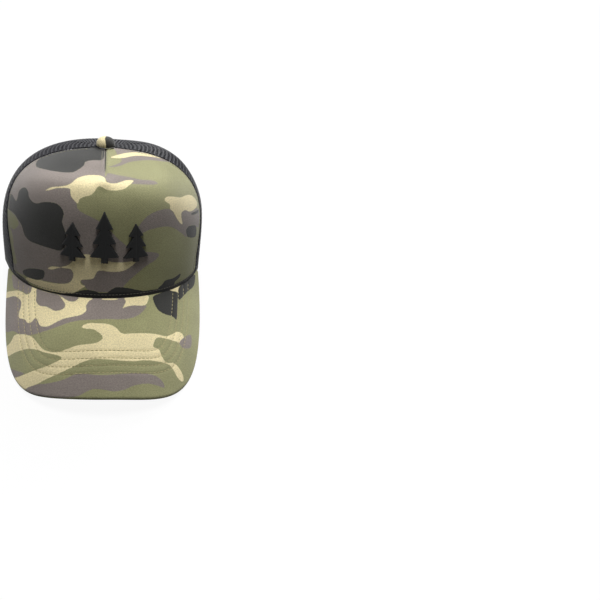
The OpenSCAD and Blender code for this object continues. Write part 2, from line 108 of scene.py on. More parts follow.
@dataclass(frozen=True)
class CapForm:
    """Surfaces of the crown, the visor and the rear arch."""

    half_w: float = 85.5
    half_l: float = 97.5
    height: float = 100.0
    button_back: float = 3.0
    lean: float = 9.0
    front_square: float = 3.7
    side_square: float = 3.0
    rear_square: float = 2.3
    swell: float = 0.04
    dart_peak: float = 1.5
    dart_foot: float = 52.0
    dart_spread: float = 14.0
    seam_low: float = 58.0
    seam_high: float = 79.0
    side_seam: float = 120.0
    panel_top: float = 87.5
    seam_gap: float = 0.3
    visor_length: float = 78.0
    visor_half: float = 95.0
    visor_bend: float = 99.0
    visor_slope: float = 37.0
    visor_rise: float = 11.0
    visor_square: float = 3.9
    visor_square_long: float = 2.7
    visor_tip: float = 67.0
    visor_edge: float = 1.95
    visor_crowd: float = 1.6
    root_gap: float = 0.3
    seam_drop: float = 2.0
    hem_ease: float = 26.0
    arch_w: float = 76.0
    arch_h: float = 48.0
    arch_square: float = 2.6
    cloth_radius: float = 92.0
    rest_pitch: float = 12.1559
    rest_move: tuple[float, float, float] = (0.0, 31.0554, 18.7221)
    # Beyond the solids: the firm bend, narrow low sides, a full left shoulder, turned seams and a longer rim.
    bend_out: float = 8.0
    bend_at: float = 46.5
    bend_above: float = 8.0
    bend_below: float = 12.5
    bend_wide: float = 48.0
    bend_slip: float = 2.1
    slip_at: float = 48.0
    slip_high: float = 7.0
    skew: float = 3.8
    waist: float = 2.9
    waist_span: tuple[float, float, float, float] = (64.0, 24.0, 110.0, 40.0)
    waist_share: float = 0.65
    shoulder: float = 3.2
    shoulder_span: tuple[float, float, float, float] = (80.0, 25.0, 125.0, 45.0)
    shoulder_at: float = 58.0
    shoulder_high: float = 16.0
    shoulder_out: float = 0.75
    shoulder_up: float = 0.65
    seam_turn: float = 2.0
    rim_more: float = 2.8
    rim_start: float = -0.52
    rim_ramp: float = 0.55

    def place(self, points: Array) -> Array:
        """Return worn points in millimetres as set-down points in metres."""
        c, s = math.cos(rad(self.rest_pitch)), math.sin(rad(self.rest_pitch))
        x, y, z = points[..., 0], points[..., 1], points[..., 2]
        return (np.stack([x, y * c + z * s, z * c - y * s], -1) + np.array(self.rest_move)) * MM

    def hem_radius(self, a: Array) -> Array:
        """Return the hem's distance from the axis at a bearing."""
        return 1 / np.sqrt((np.sin(rad(a)) / self.half_w) ** 2 + (np.cos(rad(a)) / self.half_l) ** 2)

    def hem_point(self, a: Array, out: float = 0.0) -> tuple[Array, Array]:
        """Return the hem's x and y at a bearing."""
        r = self.hem_radius(a) + out
        return r * np.sin(rad(a)), -r * np.cos(rad(a))

    def hem_bearing(self, x: Array) -> Array:
        """Return the front bearing at which the hem reaches x."""
        return np.degrees(np.arctan2(x, self.half_l * np.sqrt(1 - (x / self.half_w) ** 2)))

    def visor_point(self, beta: Array, f: Array, lift: Array | float = 0.0) -> Array:
        """Return a point of the visor's bent plane: an angle across, a distance forward and a lift."""
        r = self.visor_bend + lift
        drop = self.visor_bend - r * np.cos(rad(beta))
        s, c = math.sin(rad(self.visor_slope)), math.cos(rad(self.visor_slope))
        return np.stack(np.broadcast_arrays(
            r * np.sin(rad(beta)), -self.half_l - f * c + drop * s, self.visor_rise - f * s - drop * c), -1)

    def visor_root(self, a: Array, lift: Array | float = 0.0, out: float = 0.0) -> tuple[Array, Array]:
        """Return where the visor meets the hem's wall, as an angle across and a distance forward."""
        x, y = self.hem_point(a, out)
        r = self.visor_bend + lift
        beta = np.degrees(np.arcsin(np.clip(x / r, -0.99, 0.99)))
        drop = self.visor_bend - r * np.cos(rad(beta))
        slope = rad(self.visor_slope)
        return beta, (-self.half_l - y + drop * math.sin(slope)) / math.cos(slope)

    def visor_seat(self, a: Array) -> Array:
        """Return the hem's height over the visor."""
        beta, f = self.visor_root(a)
        return self.visor_point(beta, f)[..., 2] - self.seam_drop

    def hem_height(self, a: Array) -> Array:
        """Return the hem's height at any bearing."""
        b = np.abs((np.asarray(a, float) + 180) % 360 - 180)
        tip = self.visor_seat(np.float64(self.visor_tip))
        return np.where(b <= self.visor_tip, self.visor_seat(np.minimum(b, self.visor_tip)),
                        tip * (1 - ease((b - self.visor_tip) / self.hem_ease)))

    def power(self, a: Array) -> Array:
        """Return how square the wall's section is at a bearing."""
        c = np.cos(rad(a))
        end = np.where(c > 0, self.front_square, self.rear_square)
        return self.side_square + np.abs(c) ** 1.5 * (end - self.side_square)

    def crown(self, a: Array, phi: Array) -> Array:
        """Return a point of the crown: a bearing and an angle from the hem up to the button."""
        a, phi = np.broadcast_arrays(np.asarray(a, float), np.asarray(phi, float))
        n = self.power(a)
        s = np.arctan(np.tan(rad(np.clip(phi, 0, 89.999))) ** (n / 2))
        k = np.cos(s) ** (2 / n)
        swell = k * (1 + self.swell * np.sin(2 * s))
        low = self.hem_height(a)
        rise = (self.height - low) * np.sin(s) ** (2 / n)
        back = math.tan(rad(self.lean)) * rise * np.maximum(np.cos(rad(a)), 0) * k
        x, y = self.hem_point(a)
        turn = (a + 180) % 360 - 180
        peak = self.dart_peak * np.exp(
            -((turn / self.dart_spread) ** 2) - ((phi - self.dart_foot) / self.dart_spread) ** 2)
        past = phi - self.bend_at
        fade = np.where(past > 0, self.bend_above, self.bend_below)
        peak = peak + self.bend_out * np.exp(-((past / fade) ** 2) - (turn / self.bend_wide) ** 4)
        beside = window(np.abs(turn), *self.waist_span)
        beside = beside * (1 - ease(rise / (self.height - low) / self.waist_share))
        aside = beside * (self.skew + self.waist * np.sign(turn))
        full = self.shoulder * window(turn, *self.shoulder_span)
        full = full * bell(phi - self.shoulder_at, self.shoulder_high)
        return np.stack([
            x * swell - aside + self.shoulder_out * full,
            self.button_back + (y - self.button_back) * swell + back - peak * np.cos(rad(phi)),
            low + rise + peak * np.sin(rad(phi)) + self.shoulder_up * full], -1)

    def crown_normal(self, a: Array, phi: Array) -> Array:
        """Return the crown's outward normal."""
        step = 0.4
        across = self.crown(a + step, phi) - self.crown(a - step, phi)
        up = self.crown(a, np.minimum(phi + step, 89.9)) - self.crown(a, np.maximum(phi - step, 0))
        n = np.cross(across, up)
        return n / np.linalg.norm(n, axis=-1, keepdims=True)

    def ply(self, a: Array, phi: Array, depth: Array | float) -> Array:
        """Return the crown's point at a depth inward."""
        a, phi = np.broadcast_arrays(np.asarray(a, float), np.asarray(phi, float))
        d = np.broadcast_to(np.asarray(depth, float), a.shape)[..., None]
        return self.crown(a, phi) - d * self.crown_normal(a, phi)

    def phi_at(self, a: Array, z: Array) -> Array:
        """Return the angle up the crown at which it reaches a height."""
        low, n = self.hem_height(a), self.power(a)
        s = np.arcsin(np.clip((z - low) / (self.height - low), 0, 1) ** (n / 2))
        return np.degrees(np.arctan(np.tan(s) ** (2 / n)))

    def wall(self, a: Array, z: Array, depth: Array | float) -> Array:
        """Return the crown's point at a bearing, height and depth."""
        return self.ply(a, self.phi_at(a, z), depth)

    def reach(self, a: Array, phi: Array) -> Array:
        """Return the crown's distance from the button's axis."""
        p = self.crown(a, phi)
        return np.hypot(p[..., 0], p[..., 1] - self.button_back)

    def front_seam(self, phi: Array) -> Array:
        """Return the bearing of the seam beside the front panel."""
        turn = np.sin(rad(np.minimum(1.5 * np.asarray(phi, float), 90))) ** 2
        return self.seam_low + (self.seam_high - self.seam_low) * turn

    def half_gap(self, a: Array, phi: Array) -> Array:
        """Return half of a seam's gap as an angle."""
        return np.degrees(self.seam_gap / 2 / np.maximum(self.reach(a, phi), 1))

    def visor_outline(self, t: Array) -> tuple[Array, Array]:
        """Return the visor's rim, from one tip at -1 to the other at 1."""
        t = np.asarray(t, float)
        u = np.sign(t) * (1 - (1 - np.abs(t)) ** self.visor_crowd)
        across = np.sin(rad(90 * u))
        out = np.maximum(1 - np.abs(across) ** self.visor_square, 0) ** (1 / self.visor_square_long)
        tip_beta, tip_f = self.visor_root(np.float64(self.visor_tip), 0.0, self.root_gap)
        wide = np.degrees(self.visor_half / self.visor_bend)
        more = self.rim_more * out ** 2 * ease((across - self.rim_start) / self.rim_ramp)
        return (across * (wide + (tip_beta - wide) * (1 - out) ** 2),
                tip_f + (self.visor_length - tip_f) * out + more)

    def visor_spot(self, t: Array, inset: Array, share: Array, lift: Array) -> tuple[Array, Array, Array]:
        """Return a visor point with its angle across and distance forward.

        Args:
            t: place along the rim.
            inset: distance in from the rim.
            share: part of the way from the crown to the rim.
            lift: height over the visor's upper face.

        Returns:
            The angle across, the distance forward and the worn point.
        """
        tip_beta = self.visor_root(np.float64(self.visor_tip), 0.0, self.root_gap)[0]
        tip = self.hem_bearing((self.visor_bend + lift) * math.sin(rad(tip_beta)) - self.root_gap)
        b0, f0 = self.visor_root(t * tip, lift, self.root_gap)
        b1, f1 = self.visor_outline(t)
        long = np.hypot(rad(b1 - b0) * self.visor_bend, f1 - f0)
        way = share * np.maximum(1 - inset / np.maximum(long, 1e-6), 0.5)
        beta, f = b0 + (b1 - b0) * way, f0 + (f1 - f0) * way
        return beta, f, self.visor_point(beta, f, lift)

    def arch_spot(self, t: Array, grow: Array, depth: Array | float) -> Array:
        """Return a point beside the arch's edge, from the wearer's left at 0 to the right at 180."""
        c, s = np.cos(rad(t)), np.sin(rad(t))
        x = (self.arch_w / 2 + grow) * np.sign(c) * np.abs(c) ** (2 / self.arch_square)
        z = (self.arch_h + grow) * np.abs(s) ** (2 / self.arch_square)
        return self.wall(180 - self.hem_bearing(x), z, depth)

    def cloth_up(self, phi: Array) -> Array:
        """Return the way along the front panel's middle from the hem, in millimetres."""
        steps = np.linspace(0, 89.5, 900)
        line = replace(self, bend_out=0.0).crown(np.zeros_like(steps), steps)
        return np.interp(phi, steps, way_along(line))

    def front_chart(self, a: Array, phi: Array) -> tuple[Array, Array]:
        """Return millimetres across the front panel and up it."""
        slip = np.exp(-(((phi - self.slip_at) / self.slip_high) ** 2) - (a / self.bend_wide) ** 4)
        phi = phi + self.bend_slip * slip
        s = np.arctan(np.tan(rad(np.clip(phi, 0, 89.9))) ** (self.front_square / 2))
        return rad(a) * self.cloth_radius * np.cos(s) ** (2 / self.front_square), self.cloth_up(phi)


FORM = CapForm()
SEWN_RIM = replace(FORM, rim_more=0.0)


@dataclass(frozen=True)
class Patch:
    """One patch of the print: its tone and its outline in millimetres on the cloth."""

    tone: Tone
    outline: str

    def curve(self) -> Array:
        """Return the outline as a closed smooth curve."""
        p = np.array([[float(v) for v in pair.split(",")] for pair in self.outline.split()])
        a, b, c, d = np.roll(p, 1, 0), p, np.roll(p, -1, 0), np.roll(p, -2, 0)
        parts = []
        for t in np.arange(0, 1, 0.25):
            parts.append(0.5 * (2 * b + (c - a) * t + (2 * a - 5 * b + 4 * c - d) * t ** 2
                                + (3 * b - a - 3 * c + d) * t ** 3))
        return np.stack(parts, 1).reshape(-1, 2)

    def inside(self, x: Array, y: Array) -> Array:
        """Return the distance to the outline, positive inside."""
        p = self.curve()
        q = np.roll(p, -1, 0)
        near = np.full(x.shape, 1e9)
        odd = np.zeros(x.shape, bool)
        for (x0, y0), (x1, y1) in zip(p, q):
            dx, dy = x1 - x0, y1 - y0
            t = np.clip(((x - x0) * dx + (y - y0) * dy) / max(dx * dx + dy * dy, 1e-9), 0, 1)
            near = np.minimum(near, (x - x0 - t * dx) ** 2 + (y - y0 - t * dy) ** 2)
            if y0 != y1:
                odd ^= ((y0 > y) != (y1 > y)) & (x < x0 + (y - y0) * dx / dy)
        return np.where(odd, 1, -1) * np.sqrt(near)


def print_fields(patches: tuple[Patch, ...], x: Array, y: Array) -> dict[str, Array]:
    """Return how far each point lies inside each tone, patches laid in order.

    Args:
        patches: the patches, lowest first.
        x: millimetres across the cloth.
        y: millimetres up or along it.

    Returns:
        A field for each tone but green, positive inside.
    """
    fields = {tone.value: np.full(x.shape, -9.0) for tone in Tone if tone is not Tone.GREEN}
    for patch in patches:
        inside = np.clip(patch.inside(x, y), -9, 9)
        for name in fields:
            if name == patch.tone.value:
                fields[name] = np.maximum(fields[name], inside)
            else:
                fields[name] = np.minimum(fields[name], -inside)
    return fields


FRONT_PRINT: tuple[Patch, ...] = (
    Patch(Tone.TAUPE, "0,168 -34,148 -70,122 -100,102 -118,80 -125,60 -122,30 -112,6 -71,8 -47.5,10 "
          "-21.5,12 -17.5,22.5 -2,30 11,29.5 22,30 40,31.5 40,35.5 21,40.5 10.5,48.5 -1.5,61 -17,69 "
          "-18.5,75 -17,81 -10,92 -0.5,97 0,104 0,115 0,130 0,145 0,158"),
    Patch(Tone.GREEN, "-125,52 -104,51 -85,52 -75.5,47.5 -84.5,40.5 -92.5,40 -110,38 -125,40"),
    Patch(Tone.GREEN, "-98,40 -88,36 -86,24.5 -82.5,14.5 -90,11.5 -98,22"),
    Patch(Tone.BLACK, "-71,76.5 -64.5,75 -61.5,70.5 -54,68 -44.5,71 -35,72 -30,69 -28.5,64.5 -30,59 "
          "-28,53.5 -27,48.5 -28,42.5 -32,37.5 -39,37.5 -50,38 -61,38.5 -67.5,41.5 -70.5,47 -75,50 "
          "-85.5,53 -103.5,51.5 -105.5,59.5 -94,64.5 -82.5,63 -80,66.5 -79,72"),
    Patch(Tone.BLACK, "-70,97.5 -76,106 -66,120 -46,136 -26,152 -6,164 -1.5,160 -1.5,131 -8.5,127.5 "
          "-14.5,122.5 -16,114.5 -21,105 -26,102 -35,100.5 -49.5,99"),
    Patch(Tone.TAUPE, "9,164 22,156 48,141 70,125 92,103 67,109 39.5,120.5 20.5,124 9.5,117.5 2,115.5 "
          "6,119 12,126 12,133 9,142"),
    Patch(Tone.CREAM, "4,135.5 10,140 22,139.5 42.5,131 58.5,120 66.5,113.5 44,124.5 26,132 11.5,132.5"),
    Patch(Tone.TAUPE, "1.5,105 9,103.5 17,101 25,97.5 35,95 39.5,91 31.5,91.5 20.5,93.5 11,94 1.5,93.5"),
    Patch(Tone.CREAM, "-44,80.5 -38,85 -30,87.5 -23,91 -18,97.5 -11.5,101.5 -4,102 0,99 1,93.5 7,94 "
          "14,97.5 19.5,97 16.5,93 12.5,89 6,87.5 1,88 -3.5,90.5 -6,87 -8.5,83 -13,81 -16.5,78.5 "
          "-18,74.5 -20.5,77 -22.5,80 -23,84 -23.5,87 -32.5,85.5 -39,82.5"),
    Patch(Tone.TAUPE, "20.5,53.5 24.5,58.5 29.5,64 36.5,67 46.5,68 56.5,65.5 71.5,62.5 103.5,54 "
          "100.5,40.5 84.5,46 75,40.5 68.5,44 56,52 45,55 33,54.5 26,52.5"),
    Patch(Tone.CREAM, "45.5,75.5 48.5,77.5 56.5,76 66,73.5 75,73 85.5,71 96,65.5 101,59 91,58 80,59 "
          "72.5,62 66.5,61.5 66,57.5 67.5,52 63,55 58.5,60 55.5,64 52,67 51.5,70.5 48,73"),
    Patch(Tone.BLACK, "73.5,47 79,48 91.5,44 92,35.5 77,39.5 73.5,43.5"),
    Patch(Tone.BLACK, "83,57 100,54.5 99,52.5 85.5,55"),
    Patch(Tone.TAUPE, "-17,16 -8.5,17.5 -5.5,23 -3,24.5 4.5,23.5 11.5,23.5 17.5,26 22.5,30 24.5,33 "
          "40,33.5 39,30 31.5,26.5 25.5,22 19.5,17 14.5,12 11.5,8.5 1.5,6.5 -10,7.5 -14.5,11"),
    Patch(Tone.CREAM, "-43.5,21 -39.5,23.5 -31.5,24.5 -25.5,27.5 -21,33 -17,36 -12,37 -5.5,35.5 1,32.5 "
          "8.5,31 16,31 23,31.5 22.5,30 17.5,26 11.5,23.5 4.5,23.5 -3,24.5 -5.5,23 -8.5,17.5 -16.5,16 "
          "-17,12.5 -14,11 -18.5,7.5 -26,3 -34.5,3 -48,3 -59.5,4 -70,5.5 -59,10 -48,9.5 -39,10 -30,11 "
          "-24.5,14 -22.5,19.5 -24,23.5 -27,24 -33.5,23.5 -39.5,21"),
    Patch(Tone.BLACK, "-73,11 -63,16 -51,18.5 -47,17.5 -48.5,12 -54.5,9 -64,8 -70.5,8"),
    Patch(Tone.BLACK, "1,2 3.5,7.5 8.5,10.5 15.5,9.8 22,8 30,5 28,2"),
    Patch(Tone.BLACK, "-25,2 -20,5.8 -13.5,8 -6,7 -2,3"),
    Patch(Tone.BLACK, "42.5,5 47,8.5 50,11 57.5,10.5 67,12 66.5,9 61,7 59.5,4 50.5,4.5 45,1.5"),
)

VISOR_PRINT: tuple[Patch, ...] = (
    Patch(Tone.TAUPE, "-93.5,-16 -82,-15 -76.5,-12 -72,-7.5 -72,-2.5 -74,2.5 -73,6.5 -66.5,9.5 -63.5,13 "
          "-59,13 -56.5,10.5 -54.5,12 -51.5,17.5 -47.5,19.5 -43,19.5 -37.5,17.5 -32,15.5 -24.5,14.5 "
          "-18,13.5 -14,10.5 -14,6 -12,2.5 -9.5,0 2,0.5 16.5,-1 16.5,2.5 15.5,5.5 14,7.5 18.5,6 32.5,3.5 "
          "31.5,7.5 27,12.5 20.5,16 12,17.5 2,17.5 -8,18 -18,18 -26.5,19 -35,21 -45,23 -57,24 -69,22 "
          "-79,16 -91,11.5"),
    Patch(Tone.TAUPE, "-84,-35 -61.5,-17.5 -60,-16.5 -61,-13.5 -66,-12.5 -71.5,-16 -77,-19 -82.5,-22.5 "
          "-84.5,-29"),
    Patch(Tone.CREAM, "-93.5,-22 -83.5,-20 -77,-18.5 -71.5,-15.5 -66.5,-12 -62.5,-12.5 -61,-16.5 "
          "-60.5,-17 -50.5,-11.5 -37.5,-6 -23,-2 -9.5,0 -12,2.5 -14,6 -14,10.5 -18,13.5 -24.5,14.5 "
          "-32,15.5 -37.5,17.5 -43,19.5 -47.5,19.5 -51.5,17.5 -54.5,12 -56.5,10.5 -59,13 -63.5,13 "
          "-66.5,9.5 -73,6.5 -74,2.5 -72,-2.5 -72,-7.5 -76.5,-12 -82,-15 -93,-17"),
    Patch(Tone.TAUPE, "-56,-14 -48,-10 -40.5,-7 -36,-5 -32,0.5 -30.5,3.5 -32,7 -38,8 -41,6.5 -46.5,3 "
          "-52.5,1 -56,-3.5 -56,-8.5"),
    Patch(Tone.TAUPE, "-36,-5.5 -27,-3 -20,-1.5 -22.5,1.5 -26.5,1.5 -30,-0.5"),
    Patch(Tone.CREAM, "15.5,-0.5 23,-2 35,-5 32.5,3.5 23,5 17.5,6.5 14,8 16.5,2.5"),
    Patch(Tone.CREAM, "-2,0.5 10.5,0 7.5,1.5 0,1.5"),
    Patch(Tone.BLACK, "40,-5.5 46.5,-9.5 61,-17 63.5,-14 63,-2 61.5,10.5 57,9 49.5,8.5 43.5,6 40,0.5 "
          "39,-3"),
    Patch(Tone.CREAM, "55,-14 66.5,-20.5 67,-20 64,-14 61,-14"),
    Patch(Tone.BLACK, "66.5,-20.5 76.5,-28.5 87,-38 85,-27 75,-17.5 65,-7.5 64,-13"),
    Patch(Tone.CREAM, "-17,23.5 -13,21 -4,21 4,22 9.5,25 13.5,29 21.5,28.5 31.5,27.5 41.5,27 49,27.5 "
          "55.5,25 61,21.5 66,21.5 68.5,25 65,30 59,30 51,29.5 43,29.5 40,32.5 38.5,38 43.5,39.5 46.5,46 "
          "51,49.5 57,48.5 62.5,52 66.5,58 65.5,62.5 60.5,60 57,55 52,50.5 42,49.5 31,49.5 23,51 12.5,51 "
          "2,50 -7.5,49.5 -15.5,51.5 -23.5,55 -32.5,58.5 -43.5,62 -52.5,65 -62,67 -67.5,63.5 -74,55.5 "
          "-64,55 -54,53.5 -44.5,52 -36,49.5 -32,47 -34,45 -39.5,43 -46.5,40.5 -54,37 -61.5,35 -70,34.5 "
          "-77.5,35 -85.5,35.5 -88,28 -81.5,24.5 -77,20 -68,21.5 -59.5,25 -54,30.5 -49,36.5 -44,40 "
          "-36.5,42 -28,40.5 -19,38 -9.5,37.5 -4,36 -1,33 -3,29.5 -8,26 -14,25"),
    Patch(Tone.TAUPE, "-80.5,47 -73,50 -64,54.5 -74,55.5 -78,52"),
    Patch(Tone.TAUPE, "-62,67 -52.5,65 -43,65.5 -32,64.5 -27,63 -21.5,61 -13.5,61 -1.5,62.5 12.5,61.5 "
          "27,60 36.5,60.5 43,62.5 47,66.5 47.5,70 43,69 36,68 29,68.5 21.5,70.5 15.5,73.5 7.5,75 "
          "-1,73.5 -8,73 -15,76 -20,78 -32,77.5 -45,75 -54,72"),
    Patch(Tone.TAUPE, "63.5,30.5 68.5,25 77.5,20.5 77,31 68,34"),
)


def linear(code: str) -> tuple[float, float, float, float]:
    """Return a written colour in linear light."""
    parts = [int(code[i:i + 2], 16) / 255 for i in (0, 2, 4)]
    return (*[c / 12.92 if c <= 0.04045 else ((c + 0.055) / 1.055) ** 2.4 for c in parts], 1.0)


class Board:
    """Places nodes in one tree and joins them."""

    def __init__(self, tree: bpy.types.NodeTree) -> None:
        """Start with an empty tree."""
        self.tree = tree
        tree.nodes.clear()

    def add(self, kind: str, **settings: object) -> bpy.types.Node:
        """Add a node and set its properties."""
        node = self.tree.nodes.new(kind)
        for key, value in settings.items():
            setattr(node, key, value)
        return node

    def feed(self, socket: bpy.types.NodeSocket, value: object) -> None:
        """Join a socket to an output, or set its value."""
        if isinstance(value, bpy.types.NodeSocket):
            self.tree.links.new(value, socket)
        else:
            socket.default_value = value

    def math(self, operation: str, *values: object, clamp: bool = False) -> bpy.types.NodeSocket:
        """Return the result of one sum."""
        node = self.add("ShaderNodeMath", operation=operation, use_clamp=clamp)
        for socket, value in zip(node.inputs, values):
            self.feed(socket, value)
        return node.outputs[0]

    def noise(self, coord: object, scale: float, detail: float = 2.0) -> bpy.types.NodeSocket:
        """Return a noise value about 0.5."""
        node = self.add("ShaderNodeTexNoise")
        self.feed(node.inputs["Vector"], coord)
        node.inputs["Scale"].default_value = scale
        node.inputs["Detail"].default_value = detail
        return node.outputs["Fac"]

    def span(self, value: object, low: float, high: float,
             to_low: float = 0.0, to_high: float = 1.0) -> bpy.types.NodeSocket:
        """Return a value carried smoothly from one range to another."""
        node = self.add("ShaderNodeMapRange", interpolation_type="SMOOTHSTEP")
        self.feed(node.inputs["Value"], value)
        for name, number in (("From Min", low), ("From Max", high), ("To Min", to_low), ("To Max", to_high)):
            node.inputs[name].default_value = number
        return node.outputs["Result"]

    def mix(self, share: object, a: object, b: object, blend: str = "MIX") -> bpy.types.NodeSocket:
        """Return a mix of two colours."""
        node = self.add("ShaderNodeMix", data_type="RGBA", blend_type=blend)
        self.feed(node.inputs[0], share)
        self.feed(node.inputs[6], a)
        self.feed(node.inputs[7], b)
        return node.outputs[2]

    def grey(self, value: object) -> bpy.types.NodeSocket:
        """Return a value as a grey colour."""
        node = self.add("ShaderNodeCombineColor")
        for socket in node.inputs[:3]:
            self.feed(socket, value)
        return node.outputs[0]


class Effects:
    """Node groups that several finishes share."""

    @staticmethod
    def group(name: str) -> tuple[bpy.types.NodeTree, Board]:
        """Return a new group that makes a height and a tint from a coordinate and a pitch."""
        tree = bpy.data.node_groups.new(name, "ShaderNodeTree")
        for key, kind in (("Coord", "NodeSocketVector"), ("Pitch", "NodeSocketFloat")):
            tree.interface.new_socket(key, in_out="INPUT", socket_type=kind)
        for key in ("Height", "Tint"):
            tree.interface.new_socket(key, in_out="OUTPUT", socket_type="NodeSocketFloat")
        return tree, Board(tree)

    @classmethod
    def twill(cls) -> bpy.types.NodeTree:
        """Return twill cloth: slanting ribs crossed by threads, as a height and a tint."""
        if "TwillWeave" in bpy.data.node_groups:
            return bpy.data.node_groups["TwillWeave"]
        tree, board = cls.group("TwillWeave")
        start, end = board.add("NodeGroupInput"), board.add("NodeGroupOutput")
        coord, pitch = start.outputs["Coord"], start.outputs["Pitch"]
        apart = board.add("ShaderNodeSeparateXYZ")
        board.feed(apart.inputs[0], coord)
        turn = board.math("DIVIDE", 2 * math.pi, pitch)
        slant = board.math("ADD", apart.outputs[0], board.math("MULTIPLY", apart.outputs[1], 0.8))
        drift = board.math("MULTIPLY", board.noise(coord, 260.0), 1.6)
        rib = board.math("SINE", board.math("ADD", board.math("MULTIPLY", slant, turn), drift))
        finer = board.math("MULTIPLY", turn, 1.7)
        thread = board.math("SINE", board.math("MULTIPLY", apart.outputs[1], finer))
        height = board.math("ADD", board.math("MULTIPLY", rib, 0.36), board.math("MULTIPLY", thread, 0.16))
        slub = board.math("ADD", board.math("MULTIPLY", board.noise(coord, 1500.0), 0.5),
                          board.math("MULTIPLY", board.noise(coord, 800.0), 0.5))
        height = board.math("ADD", height, slub)
        soft = board.span(board.noise(coord, 38.0, 3.0), 0.3, 0.7, 0.93, 1.05)
        grain = board.span(slub, 0.35, 0.65, 0.85, 1.14)
        line = board.span(rib, -1.0, 1.0, 0.9, 1.07)
        board.feed(end.inputs["Height"], height)
        board.feed(end.inputs["Tint"], board.math("MULTIPLY", soft, board.math("MULTIPLY", grain, line)))
        return tree

    @classmethod
    def speckle(cls) -> bpy.types.NodeTree:
        """Return fine moulded or spun grain, as a height and a tint."""
        if "FineGrain" in bpy.data.node_groups:
            return bpy.data.node_groups["FineGrain"]
        tree, board = cls.group("FineGrain")
        start, end = board.add("NodeGroupInput"), board.add("NodeGroupOutput")
        scale = board.add("ShaderNodeVectorMath", operation="SCALE")
        board.feed(scale.inputs[0], start.outputs["Coord"])
        board.feed(scale.inputs["Scale"], board.math("DIVIDE", 1.0, start.outputs["Pitch"]))
        fine = board.noise(scale.outputs[0], 1.0, 3.0)
        wide = board.noise(start.outputs["Coord"], 45.0, 3.0)
        board.feed(end.inputs["Height"], fine)
        board.feed(end.inputs["Tint"], board.math(
            "MULTIPLY", board.span(fine, 0.3, 0.7, 0.88, 1.1), board.span(wide, 0.3, 0.7, 0.9, 1.08)))
        return tree


@dataclass(frozen=True)
class Finish:
    """A plain finish: one colour with grain or weave."""

    name: str
    colour: str
    rough: float = 0.8
    sheen: float = 0.0
    gloss: float = 0.3
    metal: float = 0.0
    pitch: float = 0.0009
    relief: float = 0.0002
    woven: bool = False
    own_map: bool = True

    def coord(self, board: Board) -> bpy.types.NodeSocket:
        """Return the piece's own map in metres, or its place."""
        if self.own_map:
            return board.add("ShaderNodeUVMap", uv_map="UVMap").outputs["UV"]
        return board.add("ShaderNodeTexCoord").outputs["Object"]

    def tone(self, board: Board, coord: object) -> object:
        """Return the ground colour before grain."""
        return linear(self.colour)

    def make(self) -> bpy.types.Material:
        """Return the finish's material, made once."""
        if self.name in bpy.data.materials:
            return bpy.data.materials[self.name]
        material = bpy.data.materials.new(self.name)
        material.use_nodes = True
        board = Board(material.node_tree)
        end, shader = board.add("ShaderNodeOutputMaterial"), board.add("ShaderNodeBsdfPrincipled")
        coord = self.coord(board)
        grain = board.add("ShaderNodeGroup", node_tree=Effects.twill() if self.woven else Effects.speckle())
        board.feed(grain.inputs["Coord"], coord)
        grain.inputs["Pitch"].default_value = self.pitch
        colour = board.mix(1.0, self.tone(board, coord), board.grey(grain.outputs["Tint"]), "MULTIPLY")
        bump = board.add("ShaderNodeBump")
        bump.inputs["Strength"].default_value = 0.6
        bump.inputs["Distance"].default_value = self.relief
        board.feed(bump.inputs["Height"], grain.outputs["Height"])
        board.feed(shader.inputs["Base Color"], colour)
        board.feed(shader.inputs["Normal"], bump.outputs["Normal"])
        board.feed(shader.inputs["Roughness"], board.span(
            grain.outputs["Height"], 0.2, 0.8, self.rough - 0.07, min(self.rough + 0.07, 1.0)))
        shader.inputs["Metallic"].default_value = self.metal
        shader.inputs["Sheen Weight"].default_value = self.sheen
        shader.inputs["Sheen Roughness"].default_value = 0.5
        shader.inputs["Specular IOR Level"].default_value = self.gloss
        board.feed(end.inputs["Surface"], shader.outputs["BSDF"])
        return material


@dataclass(frozen=True)
class Camouflage(Finish):
    """Printed camouflage twill: a green ground under cream, taupe and black."""

    cream: str = "DCCFA4"
    taupe: str = "837A74"
    black: str = "30302E"
    # Colour of the dark hem band: black print deepened with painted shade at the visor seam.
    hem: str = "1E1E1D"

    def tone(self, board: Board, coord: object) -> object:
        """Return the print from the cloth's own fields, with the dark hem band and the visor's painted light
        and shade.
        """
        colour = linear(self.colour)
        wander = board.math("MULTIPLY", board.math("SUBTRACT", board.noise(coord, 700.0), 0.5), 0.9)
        for name, code in (("taupe", self.taupe), ("cream", self.cream), ("black", self.black)):
            field = board.add("ShaderNodeAttribute", attribute_name=name)
            share = board.span(board.math("ADD", field.outputs["Fac"], wander), -0.25, 0.25)
            colour = board.mix(share, colour, linear(code))
        # The hem field paints the dark band: black print with painted shade along the visor seam.
        hem = board.add("ShaderNodeAttribute", attribute_name="hem")
        colour = board.mix(board.span(hem.outputs["Fac"], 0.4, 0.6), colour, linear(self.hem))
        # The worn field is painted light and shade: the visor is lighter near the crown and darker towards its
        # rim.
        worn = board.add("ShaderNodeAttribute", attribute_name="worn")
        left = board.math("SUBTRACT", 1.0, worn.outputs["Fac"])
        return board.mix(1.0, colour, board.grey(left), "MULTIPLY")


def thread(name: str, colour: str) -> Finish:
    """Return a sewing thread of a colour."""
    return Finish(name, colour, rough=0.7, sheen=0.2, pitch=0.0004, relief=0.0001, own_map=False)


